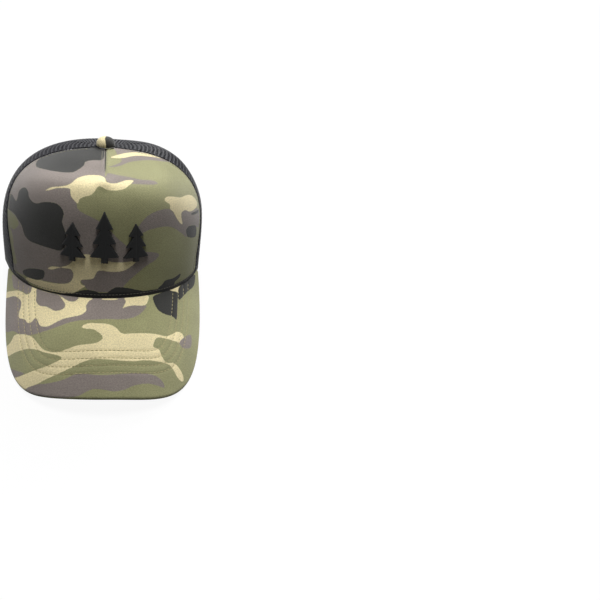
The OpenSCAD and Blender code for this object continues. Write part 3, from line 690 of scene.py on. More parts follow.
CLOTH = Camouflage("camouflage_twill", "8F8E68", rough=0.75, sheen=0.3, gloss=0.06,
                   pitch=0.0011, relief=0.00025, woven=True)
LINING = Finish("lining_buckram", "2C2C2A", rough=0.9, pitch=0.0014, relief=0.0002, woven=True)
MESH = Finish("nylon_mesh", "26262B", rough=0.55, sheen=0.1, gloss=0.1, pitch=0.0006, relief=0.00012)
TAPE = Finish("tape_twill", "1B1B1C", rough=0.85, sheen=0.15, gloss=0.1,
              pitch=0.0012, relief=0.0002, woven=True)
BAND = Finish("sweatband_cotton", "222223", rough=0.92, sheen=0.25, pitch=0.0016, relief=0.00035, woven=True)
STRAP = Finish("moulded_plastic", "18181A", rough=0.42, pitch=0.0005, relief=0.00004, own_map=False)
BOARD = Finish("visor_board_plastic", "D8D6CF", rough=0.6, pitch=0.0008, relief=0.00005, own_map=False)
METAL = Finish("button_metal", "B9BABD", rough=0.35, gloss=0.5, metal=1.0,
               pitch=0.0007, relief=0.00003, own_map=False)
SATIN = Finish("satin_stitch", "101111", rough=0.5, sheen=0.06, gloss=0.15, pitch=0.0006, relief=0.0002)
KHAKI = thread("khaki_thread", "A89D74")
PALE = thread("pale_thread", "938F7C")
GREY = thread("grey_thread", "55534A")
DARK = thread("black_thread", "2A2A2A")


class Workshop:
    """Makes meshes in Blender and hands them to the frame."""

    @staticmethod
    def clear() -> None:
        """Leave nothing selected."""
        bpy.ops.object.select_all(action="DESELECT")

    @classmethod
    def only(cls, obj: bpy.types.Object) -> None:
        """Select one object and make it active."""
        cls.clear()
        obj.select_set(True)
        bpy.context.view_layer.objects.active = obj

    @classmethod
    def solidify(cls, obj: bpy.types.Object, thickness: float) -> None:
        """Give a sheet its thickness, inward from its face."""
        cls.only(obj)
        modifier = obj.modifiers.new("Thickness", "SOLIDIFY")
        modifier.thickness = thickness * MM
        modifier.offset = -1
        bpy.ops.object.modifier_apply(modifier=modifier.name)

    @classmethod
    def edit(cls, obj: bpy.types.Object, select: str, *steps: Callable[[], object]) -> None:
        """Take steps on a mesh in edit mode, with all or nothing selected at first."""
        cls.only(obj)
        bpy.ops.object.mode_set(mode="EDIT")
        bpy.ops.mesh.select_all(action=select)
        for step in steps:
            step()
        bpy.ops.object.mode_set(mode="OBJECT")

    @classmethod
    def weld(cls, obj: bpy.types.Object, distance: float = 1e-5) -> None:
        """Merge vertices that meet."""
        cls.edit(obj, "SELECT", lambda: bpy.ops.mesh.remove_doubles(threshold=distance))

    @classmethod
    def flip(cls, obj: bpy.types.Object) -> None:
        """Turn a sheet's faces over."""
        cls.edit(obj, "SELECT", bpy.ops.mesh.flip_normals)

    @classmethod
    def smooth(cls, obj: bpy.types.Object, angle: float = 55.0) -> None:
        """Shade an object smooth but for its sharp edges."""
        cls.only(obj)
        bpy.ops.object.shade_smooth_by_angle(angle=rad(angle))

    @classmethod
    def from_faces(cls, name: str, points: Array, faces: list[list[int]],
                   chart: Array | None = None) -> bpy.types.Object:
        """Return an object of given faces, its chart in metres as its own map."""
        mesh = bpy.data.meshes.new(name)
        mesh.from_pydata(points.tolist(), [], faces)
        obj = bpy.data.objects.new(name, mesh)
        bpy.context.scene.collection.objects.link(obj)
        if chart is not None:
            cls.own_map(obj, chart)
        return obj

    @staticmethod
    def own_map(obj: bpy.types.Object, chart: Array) -> None:
        """Write a vertex chart in metres into the object's own map."""
        mesh = obj.data
        layer = mesh.uv_layers.get("UVMap") or mesh.uv_layers.new(name="UVMap")
        corner = np.empty(len(mesh.loops), int)
        mesh.loops.foreach_get("vertex_index", corner)
        layer.data.foreach_set("uv", chart[corner].ravel())

    @staticmethod
    def field(obj: bpy.types.Object, name: str, values: Array) -> None:
        """Write one value a vertex."""
        attribute = obj.data.attributes.new(name=name, type="FLOAT", domain="POINT")
        attribute.data.foreach_set("value", values.astype(np.float32))

    @staticmethod
    def paint(obj: bpy.types.Object, finish: Finish) -> None:
        """Give a piece its finish."""
        obj.data.materials.clear()
        obj.data.materials.append(finish.make())

    @classmethod
    def finish(cls, obj: bpy.types.Object, finish: Finish, body: str, slot: str, *nodes: str) -> None:
        """Give a piece its finish and its body, and hide the nodes that it stands for."""
        cls.paint(obj, finish)
        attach(obj, body)
        if nodes:
            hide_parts(*nodes)
        log.info("%s: %d faces", obj.name, len(obj.data.polygons))


@dataclass
class Sheet:
    """A sheet of cloth on a grid, with its flat size."""

    name: str
    columns: int
    rows: int
    surface: Surface
    obj: bpy.types.Object | None = None
    u: Array | None = None
    v: Array | None = None
    flat: tuple[float, float] = (0.0, 0.0)
    area: float = 0.0

    def lay(self, chart: Callable[[Array, Array], Array] | None = None, thickness: float = 0.0,
            fields: Callable[[Array, Array], dict[str, Array]] | None = None) -> bpy.types.Object:
        """Lay the grid on its surface, map it and give it thickness.

        Args:
            chart: metres on the cloth at each grid place; the grid's mean size if left out.
            thickness: millimetres, inward from the face.
            fields: named values at each grid place.

        Returns:
            The sheet's object.
        """
        Workshop.clear()
        bpy.ops.mesh.primitive_grid_add(x_subdivisions=self.columns, y_subdivisions=self.rows, size=2)
        self.obj = bpy.context.active_object
        self.obj.name = self.obj.data.name = self.name
        mesh = self.obj.data
        flat = np.empty(len(mesh.vertices) * 3)
        mesh.vertices.foreach_get("co", flat)
        flat = flat.reshape(-1, 3)
        self.u, self.v = np.clip((flat[:, 0] + 1) / 2, 0, 1), np.clip((flat[:, 1] + 1) / 2, 0, 1)
        points = self.surface(self.u, self.v)
        mesh.vertices.foreach_set("co", points.ravel())
        mesh.update()
        self.measure(points)
        if chart is None:
            Workshop.own_map(self.obj, np.stack([self.u * self.flat[0], self.v * self.flat[1]], -1))
        else:
            Workshop.own_map(self.obj, chart(self.u, self.v))
        for name, values in (fields(self.u, self.v) if fields else {}).items():
            Workshop.field(self.obj, name, values)
        if thickness:
            Workshop.solidify(self.obj, thickness)
        Workshop.smooth(self.obj)
        return self.obj

    def measure(self, points: Array) -> None:
        """Measure the cloth's flat width, length and area from its grid."""
        order = np.lexsort((np.round(self.u, 6), np.round(self.v, 6)))
        grid = points[order].reshape(-1, len(np.unique(np.round(self.u, 6))), 3)
        across = np.linalg.norm(np.diff(grid, axis=1), axis=-1).sum(1).max()
        along = np.linalg.norm(np.diff(grid, axis=0), axis=-1).sum(0).max()
        a, b = np.diff(grid, axis=1)[:-1], np.diff(grid, axis=0)[:, :-1]
        self.area = float(np.linalg.norm(np.cross(a, b), axis=-1).sum())
        self.flat = (float(across), float(max(along, self.area / across)))


@dataclass(frozen=True)
class Stitches:
    """Rows of sewing thread, one short loop of thread a stitch."""

    pitch: float = 3.0
    length: float = 2.3
    radius: float = 0.3
    blunt: float = 0.8
    flat: float = 0.8

    def grain(self) -> tuple[Array, list[list[int]]]:
        """Return one stitch's vertices and faces, along x."""
        Workshop.clear()
        bpy.ops.mesh.primitive_uv_sphere_add(segments=6, ring_count=5, radius=1)
        obj = bpy.context.active_object
        mesh = obj.data
        p = np.array([v.co[:] for v in mesh.vertices])
        faces = [list(f.vertices) for f in mesh.polygons]
        bpy.data.objects.remove(obj)
        bpy.data.meshes.remove(mesh)
        long = np.sign(p[:, 2]) * np.abs(p[:, 2]) ** self.blunt * self.length / 2
        return np.stack([long, p[:, 0] * self.radius, p[:, 1] * self.radius * self.flat], -1) * MM, faces

    def sew(self, name: str, rows: list[tuple[Array, Array]], finish: Finish,
            body: str, slot: str) -> bpy.types.Object:
        """Sew stitches along rows.

        Args:
            name: the piece's name.
            rows: each a line of points and its outward normals, in metres.
            finish: the thread.
            body: the body that the rows ride on.
            slot: not used.

        Returns:
            One object with all the stitches.
        """
        grain, faces = self.grain()
        points, joined, start = [], [], 0
        for line, normal in rows:
            way = way_along(line)
            for s in np.arange(self.pitch / 2, way[-1] / MM - self.pitch / 2, self.pitch) * MM:
                at = np.array([np.interp(s, way, line[:, i]) for i in range(3)])
                ends = [np.array([np.interp(s + d * MM, way, line[:, i]) for i in range(3)]) for d in (-1, 1)]
                x = (ends[1] - ends[0]) / np.linalg.norm(ends[1] - ends[0])
                n = np.array([np.interp(s, way, normal[:, i]) for i in range(3)])
                z = n - x * (n @ x)
                z /= np.linalg.norm(z)
                points.append(at + grain @ np.stack([x, np.cross(z, x), z]))
                joined += [[i + start for i in f] for f in faces]
                start += len(grain)
        obj = Workshop.from_faces(name, np.concatenate(points), joined)
        Workshop.smooth(obj, 80)
        Workshop.finish(obj, finish, body, slot)
        return obj


def turned(normals: Array) -> Array:
    """Return worn normals as set-down normals."""
    return (FORM.place(normals) - FORM.place(np.zeros(3))) / MM


def crown_row(a: Array, phi: Array, lift: float) -> tuple[Array, Array]:
    """Return a stitch row on the crown's face, raised by a lift."""
    n = FORM.crown_normal(a, phi)
    return FORM.place(FORM.crown(a, phi) + lift * n), turned(n)


def inner_row(a: Array, phi: Array, depth: float) -> tuple[Array, Array]:
    """Return a stitch row on a face inside the crown."""
    n = FORM.crown_normal(a, phi)
    return FORM.place(FORM.ply(a, phi, depth)), -turned(n)


@dataclass
class FrontPanel:
    """Structured front panel: printed twill, buckram behind it, dart, topstitching and emblem."""

    columns: int = 230
    rows: int = 170
    cloth_t: float = 0.9
    lining_out: float = 1.2
    lining_t: float = 1.5
    lining_share: float = 0.995
    dart_from: float = 50.0
    dart_ramp: float = 12.0
    groove: float = 1.4
    nose: float = 2.0
    nose_at: float = 93.0
    tuck: float = 0.7
    hem_tuck: float = 0.8
    dent: float = 0.2
    dent_wide: float = 0.9
    stitch_in: float = 5.0
    hem_stitch: float = 4.2
    # Lowest height of the dark hem band, black print with painted shade at the visor seam.
    hem_dark_band: float = 2.4
    hem_slant: float = 0.9
    face: float = 0.15
    proud: float = 3.0
    sunk: float = 2.2

    def place_on(self, u: Array, v: Array) -> tuple[Array, Array]:
        """Return bearing and angle up at a grid place."""
        phi = FORM.panel_top * v
        s = 2 * u - 1
        edge = FORM.front_seam(phi)
        edge = edge - FORM.half_gap(edge, phi)
        return edge * (0.82 * s + 0.18 * s ** 3) + FORM.seam_turn * s ** 4, phi

    def relief(self, a: Array, phi: Array) -> Array:
        """Return the cloth's depth below its plain face: dart, sewn edges and slack."""
        x, y = FORM.front_chart(a, phi)
        dart = ease((phi - self.dart_from) / self.dart_ramp)
        depth = dart * (self.groove * bell(x, 0.75) - 0.35 * bell(np.abs(x) - 2.2, 1.2))
        depth -= self.nose * np.exp(-((x / 5) ** 2) - ((y - self.nose_at) / 4.5) ** 2)
        edge = FORM.front_seam(phi) + np.sign(a) * FORM.seam_turn - np.abs(a)
        edge = np.maximum(edge * FORM.reach(a, phi) * math.pi / 180, 0)
        low = y * self.hem_slant
        # The tucks fade out at the lower corners, where cloth and mesh meet without a tape behind them.
        depth += self.tuck * np.exp(-edge / 1.1) * ease((low - 6) / 10)
        depth += self.hem_tuck * np.exp(-low / 1.2) * ease(edge / 4)
        depth += self.dent * bell(edge - self.stitch_in, self.dent_wide)
        depth += self.dent * bell(low - self.hem_stitch, self.dent_wide)
        slack = 0.25 * np.sin(x / 17 + 0.5) * np.sin(y / 13) + 0.15 * np.sin((x + 2 * y) / 21 + 1)
        return depth + self.face + slack * ease(edge / 20) * ease(low / 20)

    def cloth(self) -> bpy.types.Object:
        """Make the printed panel."""
        def surface(u: Array, v: Array) -> Array:
            a, phi = self.place_on(u, v)
            return FORM.place(FORM.ply(a, phi, np.clip(self.relief(a, phi), -self.proud, self.sunk)))

        def fields(u: Array, v: Array) -> dict[str, Array]:
            a, phi = self.place_on(u, v)
            x, y = FORM.front_chart(a, phi)
            # Dark band along the hem: black print with painted shade along the visor seam.
            band = (self.hem_dark_band + 2.0 * ease((x + 40) / 35) + 1.6 * bell(x - 8, 34)
                    + 2.8 * (1 - ease((x + 74) / 12)))
            return {**print_fields(FRONT_PRINT, x, y), "hem": ease(band + 0.5 - y)}

        def chart(u: Array, v: Array) -> Array:
            return np.stack(FORM.front_chart(*self.place_on(u, v)), -1) * MM

        sheet = Sheet("front_panel_twill", self.columns, self.rows, surface)
        obj = sheet.lay(chart, self.cloth_t, fields)
        Workshop.finish(obj, CLOTH, "cap", "camouflage_cloth", "front_panel")
        return obj

    def lining(self) -> bpy.types.Object:
        """Make the stiff buckram behind the panel."""
        def surface(u: Array, v: Array) -> Array:
            a, phi = self.place_on(u, v)
            return FORM.place(FORM.ply(a * self.lining_share, phi, self.lining_out))

        sheet = Sheet("front_lining_buckram", 70, 56, surface)
        obj = sheet.lay(thickness=self.lining_t)
        Workshop.finish(obj, LINING, "cap", "lining", "front_lining")
        return obj

    def sewing(self) -> None:
        """Sew the dart, the side seams and the hem."""
        phi = np.linspace(2, 80, 120)
        rows = []
        for side in Side:
            inset = np.degrees(self.stitch_in / FORM.reach(FORM.front_seam(phi), phi))
            rows.append(crown_row(side.value * (FORM.front_seam(phi) - inset) + FORM.seam_turn, phi, -0.2))
        Stitches(3.0, 2.4, 0.3).sew("front_panel_side_stitches", rows, PALE, "cap", "camouflage_cloth")
        a = np.linspace(-FORM.seam_low + 1.5, FORM.seam_low - 1.5, 160) + FORM.seam_turn
        hem = FORM.hem_height(a) + self.hem_stitch
        row = crown_row(a, FORM.phi_at(a, hem), -0.1)
        Stitches(2.8, 2.3, 0.24).sew("front_panel_hem_stitches", [row], GREY, "cap", "camouflage_cloth")
        up = np.linspace(64, 82, 60)
        off = -np.degrees(2.4 / np.maximum(FORM.reach(np.zeros_like(up), up), 4))
        row = crown_row(off, up, 0.4)
        Stitches(2.6, 2.0, 0.24).sew("front_panel_dart_stitches", [row], PALE, "cap", "camouflage_cloth")

    def build(self) -> None:
        """Make every piece of the front panel."""
        self.cloth()
        self.lining()
        self.sewing()


@dataclass(frozen=True)
class MeshPanel:
    """One panel of open nylon mesh, its holes in offset rows."""

    node: str
    side: Side
    rear: bool
    across: float = 2.9
    along: float = 3.5
    open: float = 0.6
    ridge: float = 0.6
    hem: float = 4.0
    thickness: float = 0.8
    sunk: float = 0.25
    phase: float = 0.2
    half_wide: float = 95.0
    side_mid: float = 98.0
    rear_mid: float = 150.0
    most_turn: float = 100.0
    most_moved: float = 0.6
    weld: float = 4e-5

    def limits(self, phi: Array) -> tuple[Array, Array]:
        """Return the panel's bearings at an angle up, on the wearer's left."""
        seam, mid = FORM.front_seam(phi) + self.side.value * FORM.seam_turn, FORM.side_seam
        gap = FORM.half_gap(np.full_like(phi, mid), phi)
        if self.rear:
            return mid + gap, np.full_like(phi, 180.0) - gap
        return seam + gap, mid - gap

    def clamp(self, a: Array, phi: Array) -> tuple[Array, Array]:
        """Return a place brought into the panel, out of the arch and off its seams."""
        phi = np.clip(phi, 0, FORM.panel_top)
        low, high = self.limits(phi)
        a = np.clip(a, low, high)
        if not self.rear:
            return a, phi
        square = FORM.arch_square
        x = FORM.half_w * np.sin(rad(180 - a))
        z = np.maximum(FORM.crown(a, phi)[..., 2], 0)
        inside = (np.abs(x) / (FORM.arch_w / 2)) ** square + (z / FORM.arch_h) ** square
        grow = np.maximum(inside, 1e-9) ** (-1 / square)
        new_a = 180 - FORM.hem_bearing(np.clip(x * grow, 0, FORM.half_w - 1))
        new_phi = FORM.phi_at(new_a, z * grow)
        hit = inside < 1
        return np.where(hit, new_a, a), np.where(hit, new_phi, phi)

    def build(self) -> bpy.types.Object:
        """Make the lattice and lay it on the crown."""
        steps = np.linspace(0, FORM.panel_top, 400)
        mid = self.rear_mid if self.rear else self.side_mid
        way = way_along(FORM.crown(np.full_like(steps, mid), steps))
        reach = FORM.reach(np.full_like(steps, mid), steps)
        hexagon = np.array([(0, 2 / 3), (-.5, 1 / 3), (-.5, -1 / 3), (0, -2 / 3), (.5, -1 / 3), (.5, 1 / 3)])
        hexagon = hexagon * [self.across, self.along]
        half = int(self.half_wide / self.across)
        centres = np.array([((i + 0.5 * (j % 2)) * self.across, (j + self.phase) * self.along)
                            for j in range(int(way[-1] / self.along) + 2) for i in range(-half, half + 1)])
        open_at = self.open * ease((centres[:, 1] - self.hem) / 3)
        centres = centres[:, None]
        cells = np.concatenate([centres + hexagon, centres + hexagon * open_at[:, None, None]], 1)
        phi = np.interp(cells[..., 1], way, steps)
        r = np.maximum(np.interp(phi, steps, reach), 2.0)
        a = mid + np.degrees(cells[..., 0] / r)
        ok = (np.abs(a - mid) < self.most_turn).all(1)
        a, phi, cells = a[ok], phi[ok], cells[ok]
        in_a, in_phi = self.clamp(a, phi)
        moved = np.abs(in_a - a) * r[ok] * math.pi / 180 + np.abs(in_phi - phi)
        keep = (moved[:, :6] < self.most_moved).any(1)
        in_a, in_phi, cells = in_a[keep], in_phi[keep], cells[keep]
        ridge = self.ridge * (1 - np.cos(2 * math.pi * (cells[..., 1] / self.along - self.phase))) / 2
        points = FORM.place(FORM.ply(self.side.value * in_a.ravel(), in_phi.ravel(), self.sunk - ridge.ravel()))
        base = 12 * np.arange(len(in_a))[:, None, None]
        k = np.arange(6)
        ring = np.stack([k, (k + 1) % 6, 6 + (k + 1) % 6, 6 + k], -1)
        if self.side is Side.RIGHT:
            ring = ring[:, ::-1]
        faces = (base + ring[None]).reshape(-1, 4).tolist()
        obj = Workshop.from_faces(f"{self.node}_lattice", points, faces, cells.reshape(-1, 2) * MM)
        Workshop.weld(obj, self.weld)
        Workshop.solidify(obj, self.thickness)
        Workshop.smooth(obj, 40)
        Workshop.finish(obj, MESH, "cap", "mesh", self.node)
        span = self.limits(np.zeros(1))
        wide = float((span[1] - span[0])[0] * FORM.cloth_radius * math.pi / 180 * MM)
        min(self.panel_area(), wide * way[-1] * MM)
        return obj

    def panel_area(self) -> float:
        """Return the panel's cloth area in square metres."""
        u, v = np.meshgrid(np.linspace(0, 1, 60), np.linspace(0, 1, 60))
        low, high = self.limits(v * FORM.panel_top)
        a, phi = self.clamp(low + (high - low) * u, v * FORM.panel_top)
        p = FORM.crown(a, phi) * MM
        across, up = np.diff(p, axis=1)[:-1], np.diff(p, axis=0)[:, :-1]
        return float(np.linalg.norm(np.cross(across, up), axis=-1).sum())


@dataclass(frozen=True)
class SeamTape:
    """Tape over an inner seam, with a row of stitches along each edge."""

    node: str
    bearing: Callable[[Array], Array]
    above_hem: float
    depth: float
    rests_on: tuple[str, ...]
    width: float = 10.0
    thickness: float = 0.6
    below_button: float = 16.0
    rows: tuple[float, float] = (0.14, 0.86)

    def build(self) -> bpy.types.Object:
        """Make the tape and its sewing."""
        start, end = self.bearing(np.array([0.0, FORM.panel_top]))
        low = float(FORM.phi_at(start, FORM.hem_height(start) + self.above_hem))
        top = 90 - math.degrees(self.below_button / float(FORM.hem_radius(end)))

        def spot(u: Array, v: Array) -> tuple[Array, Array]:
            phi = low + (top - low) * v
            mid = self.bearing(phi)
            return mid + (1 - 2 * u) * np.degrees(self.width / 2 / FORM.reach(mid, phi)), phi

        def surface(u: Array, v: Array) -> Array:
            a, phi = spot(u, v)
            roll = 0.12 * np.abs(2 * u - 1) ** 6
            return FORM.place(FORM.ply(a, phi, self.depth + self.thickness - roll))

        sheet = Sheet(f"{self.node}_cloth", 14, 70, surface)
        obj = sheet.lay(thickness=self.thickness * 0.8)
        Workshop.finish(obj, TAPE, "cap", "tape", self.node)
        line = np.linspace(0.02, 0.98, 80)
        rows = [inner_row(*spot(np.full_like(line, u), line), self.depth + self.thickness) for u in self.rows]
        Stitches(3.2, 2.4, 0.22).sew(f"{self.node}_stitches", rows, DARK, "cap", "tape")
        return obj


@dataclass
class Sweatband:
    """Padded cotton band inside the hem, turned over at its top."""

    end: float = 155.1
    seat: float = 2.9
    out: float = 6.8
    inner: float = 8.3
    height: float = 30.0
    sewn: float = 3.0
    columns: int = 220
    rows: tuple[float, float] = (4.0, 26.5)

    def profile(self) -> Array:
        """Return the band's closed section: height over the hem and depth."""
        t = np.linspace(0, math.pi, 9)
        mid, half = (self.out + self.inner) / 2, (self.inner - self.out) / 2
        top = np.stack([self.height - half + half * np.sin(t), mid + half * np.cos(t)], -1)
        inner = np.stack([np.linspace(0.3, self.height - 1.2, 22), np.full(22, self.inner)], -1)
        inner[:, 1] += 0.12 * np.sin(inner[:, 0] * 2.1) * ease(inner[:, 0] / 4)
        outer = np.array([(self.height - 4, self.out), (self.sewn + 4, self.out), (self.sewn, self.out - 0.1),
                          (self.sewn - 1, self.seat + 0.2), (0.35, self.seat), (0.2, self.seat + 0.6),
                          (0.2, self.inner - 0.5), (0.3, self.inner)])
        return np.concatenate([inner, top, outer])

    def build(self) -> bpy.types.Object:
        """Make the band and the stitches along its lower edge."""
        section = self.profile()
        place = np.linspace(0, 1, len(section))

        def surface(u: Array, v: Array) -> Array:
            a = self.end * (1 - 2 * u)
            z, d = np.interp(v, place, section[:, 0]), np.interp(v, place, section[:, 1])
            return FORM.place(FORM.wall(a, FORM.hem_height(a) + 0.15 + z, d))

        sheet = Sheet("sweatband_cotton", self.columns, len(section) - 1, surface)
        obj = sheet.lay()
        Workshop.weld(obj)
        Workshop.edit(obj, "DESELECT", lambda: bpy.ops.mesh.select_non_manifold(extend=False),
                      bpy.ops.mesh.edge_face_add)
        Workshop.finish(obj, BAND, "cap", "sweatband", "sweatband")
        a = np.linspace(-self.end + 1, self.end - 1, 300)
        rows = [inner_row(a, FORM.phi_at(a, FORM.hem_height(a) + h), self.inner + 0.1) for h in self.rows]
        Stitches(3.4, 2.5, 0.26).sew("sweatband_stitches", rows, DARK, "cap", "sweatband")
        return obj


@dataclass
class ArchBinding:
    """Folded tape round the rear arch, stitched through."""

    width: float = 7.9
    out: float = -0.95
    inside: float = 1.95
    thickness: float = 0.55
    stitch_at: float = 6.2

    def build(self) -> bpy.types.Object:
        """Make the fold and its row of stitches."""
        turn = np.linspace(0, math.pi, 9)
        half = (self.inside - self.out) / 2
        fold = np.stack([0.35 - 1.3 * np.sin(turn), self.out + half - half * np.cos(turn)], -1)
        section = np.concatenate([[[self.width, self.out], [self.width * 0.6, self.out - 0.03]], fold,
                                  [[self.width * 0.6, self.inside + 0.03], [self.width, self.inside]]])
        place = np.linspace(0, 1, len(section))

        def surface(u: Array, v: Array) -> Array:
            g, d = np.interp(v, place, section[:, 0]), np.interp(v, place, section[:, 1])
            return FORM.place(FORM.arch_spot(180 * u, g, d))

        sheet = Sheet("rear_arch_binding_tape", 120, 30, surface)
        obj = sheet.lay(thickness=self.thickness)
        Workshop.finish(obj, TAPE, "cap", "tape", "rear_arch_binding")
        t = np.linspace(3, 177, 200)
        line = FORM.arch_spot(t, np.full_like(t, self.stitch_at), self.out - 0.05)
        back = FORM.arch_spot(t, np.full_like(t, self.stitch_at), self.out + 0.95)
        Stitches(3.0, 2.2, 0.24).sew("rear_arch_stitches", [(FORM.place(line), turned(line - back))],
                                     DARK, "cap", "tape")
        return obj


@dataclass
class Visor:
    """Curved visor: a printed cover over and under a stiff board, sewn in rows that follow the rim."""

    columns: int = 230
    rows: int = 110
    cover_t: float = 0.75
    tip_end: float = 0.95
    turn_from: float = 0.93
    turn_share: float = 0.07
    insets: tuple[float, ...] = (17.4, 23.3, 29.2, 35.2)
    sunk: float = 0.36
    sunk_wide: float = 0.9
    stitch_in: float = 0.26
    row_end: float = 0.93
    off_root: float = 1.5
    most_across: float = 90.0
    off_table: float = 0.02
    # Painted light and shade on the visor cloth: a share taken off its colour, negative (painted light) near
    # the crown and growing into painted shade towards the rim.
    painted_shade_root: float = -0.18
    painted_shade_more: float = 0.4
    painted_shade_from: float = 20.0

    def column(self, u: Array, v: Array, up: int) -> tuple[Array, Array, Array]:
        """Return a cover's chart and points, from the root out and half round the rim."""
        t = self.tip_end * (2 * u - 1) * (1 if up > 0 else -1)
        r = FORM.visor_edge
        share = np.minimum(v / self.turn_from, 1)
        turn = np.clip((v - self.turn_from) / self.turn_share, 0, 1) * math.pi / 2
        inset = r - r * np.sin(turn)
        lift = -r + up * np.maximum(r * np.cos(turn), 0.08)
        return FORM.visor_spot(t, inset, share, lift)

    def sewn(self, beta: Array, f: Array) -> Array:
        """Return each point's distance in from the rim."""
        rim_b, rim_f = SEWN_RIM.visor_outline(np.linspace(-self.tip_end, self.tip_end, 400))
        x, rim_x = rad(beta) * FORM.visor_bend, rad(rim_b) * FORM.visor_bend
        near = np.full(x.shape, 1e9)
        for at_x, at_f in zip(rim_x, rim_f):
            near = np.minimum(near, (x - at_x) ** 2 + (f - at_f) ** 2)
        return np.sqrt(near)

    def cover(self, up: int) -> bpy.types.Object:
        """Make the upper or the lower cover."""
        def surface(u: Array, v: Array) -> Array:
            beta, f, p = self.column(u, v, up)
            inset = self.sewn(beta, f)
            sunk = sum(self.sunk * bell(inset - row, self.sunk_wide) for row in self.insets)
            sunk = sunk - 0.1 * np.sin(f / 9 + beta / 7) * ease(inset / 6) * ease((1 - v) / 0.2)
            ray = FORM.visor_point(beta, f, -FORM.visor_edge) - p
            ray = ray / np.maximum(np.linalg.norm(ray, axis=-1, keepdims=True), 1e-6)
            depth = np.clip(sunk + 0.1, 0, 0.6) * ease((self.turn_from - v) / 0.05)
            laid = FORM.place(p + ray * depth[:, None])
            laid[:, 2] = np.maximum(laid[:, 2], self.off_table * MM)  # the rim rests on the table
            return laid

        def fields(u: Array, v: Array) -> dict[str, Array]:
            beta, f, _ = self.column(u, v, up)
            x = rad(beta) * FORM.visor_bend
            # The worn field is painted light near the crown and painted shade towards the rim.
            way = np.clip((f - self.painted_shade_from) / (FORM.visor_length - self.painted_shade_from), 0, 1)
            worn = self.painted_shade_root + self.painted_shade_more * way
            return {**print_fields(VISOR_PRINT, x * up, f), "hem": np.zeros_like(x), "worn": worn}

        def chart(u: Array, v: Array) -> Array:
            beta, f, _ = self.column(u, v, up)
            return np.stack([rad(beta) * FORM.visor_bend, f], -1) * MM

        name = "visor_top_cover" if up > 0 else "visor_bottom_cover"
        sheet = Sheet(f"{name}_twill", self.columns, self.rows, surface)
        obj = sheet.lay(chart, 0.0, fields)
        Workshop.flip(obj)
        Workshop.solidify(obj, self.cover_t)
        Workshop.smooth(obj)
        Workshop.finish(obj, CLOTH, "cap", "camouflage_cloth", name)
        return obj

    def row(self, inset: float, up: int) -> tuple[Array, Array]:
        """Return one stitch row at a distance in from the rim."""
        t = np.linspace(-self.row_end, self.row_end, 500)
        b, f = SEWN_RIM.visor_outline(t)
        x = rad(b) * FORM.visor_bend
        dx, df = np.gradient(x), np.gradient(f)
        size = np.hypot(dx, df)
        px, pf = x + inset * df / size, f - inset * dx / size
        beta = np.degrees(px / FORM.visor_bend)
        a = FORM.hem_bearing(np.clip(FORM.visor_bend * np.sin(rad(beta)), -80, 80))
        root = FORM.visor_root(a, 0.0, FORM.root_gap)[1]
        keep = (pf > root + self.off_root) & (np.abs(px) < self.most_across)
        beta, pf = beta[keep], pf[keep]
        lift = -self.stitch_in if up > 0 else -2 * FORM.visor_edge + self.stitch_in
        line = FORM.visor_point(beta, pf, lift)
        n = FORM.visor_point(beta, pf, lift + up) - line
        return FORM.place(line), turned(n)

    def build(self) -> None:
        """Make both covers and their sewing."""
        self.cover(1)
        self.cover(-1)
        for name, up in (("visor_top_stitches", 1), ("visor_bottom_stitches", -1)):
            rows = [self.row(inset, up) for inset in self.insets]
            Stitches(3.3, 2.3, 0.29).sew(name, rows, KHAKI, "cap", "camouflage_cloth")


@dataclass
class Button:
    """Cloth-covered button at the crown's top."""

    radius: float = 8.0
    height: float = 8.0
    seat: float = 100.15
    foot: float = 1.3
    pleats: int = 9

    def build(self) -> bpy.types.Object:
        """Make the domed cover, pulled in at its foot."""
        Workshop.clear()
        bpy.ops.mesh.primitive_uv_sphere_add(segments=72, ring_count=40, radius=1)
        obj = bpy.context.active_object
        obj.name = obj.data.name = "button_cover_twill"
        p = np.array([v.co[:] for v in obj.data.vertices])
        flat = np.hypot(p[:, 0], p[:, 1])
        dome = np.abs(p[:, 2]) ** 0.9 * (self.height - self.foot) + self.foot
        up = np.where(p[:, 2] >= 0, dome, self.foot + p[:, 2] * self.foot)
        r = np.where(p[:, 2] >= 0, flat ** 0.85, 0.9 * flat ** 0.6 + 0.1 * flat) * self.radius
        ang = np.arctan2(p[:, 1], p[:, 0])
        r = r * (1 - 0.012 * (1 + np.cos(ang * self.pleats)) * ease((1.8 - up) / 1.5))
        x, y = r * np.cos(ang), r * np.sin(ang)
        worn = np.stack([x, FORM.button_back + y, self.seat + up], -1)
        obj.data.vertices.foreach_set("co", FORM.place(worn).ravel())
        obj.data.update()
        Workshop.own_map(obj, np.stack([x, y], -1) * MM)
        split = x - 0.6 * np.sin(y / 2.2)
        for name, values in (("cream", -split), ("taupe", np.full_like(x, -5)), ("black", split),
                             ("hem", np.zeros_like(x))):
            Workshop.field(obj, name, values)
        Workshop.smooth(obj, 80)
        Workshop.finish(obj, CLOTH, "cap", "camouflage_cloth", "button_cover")
        return obj


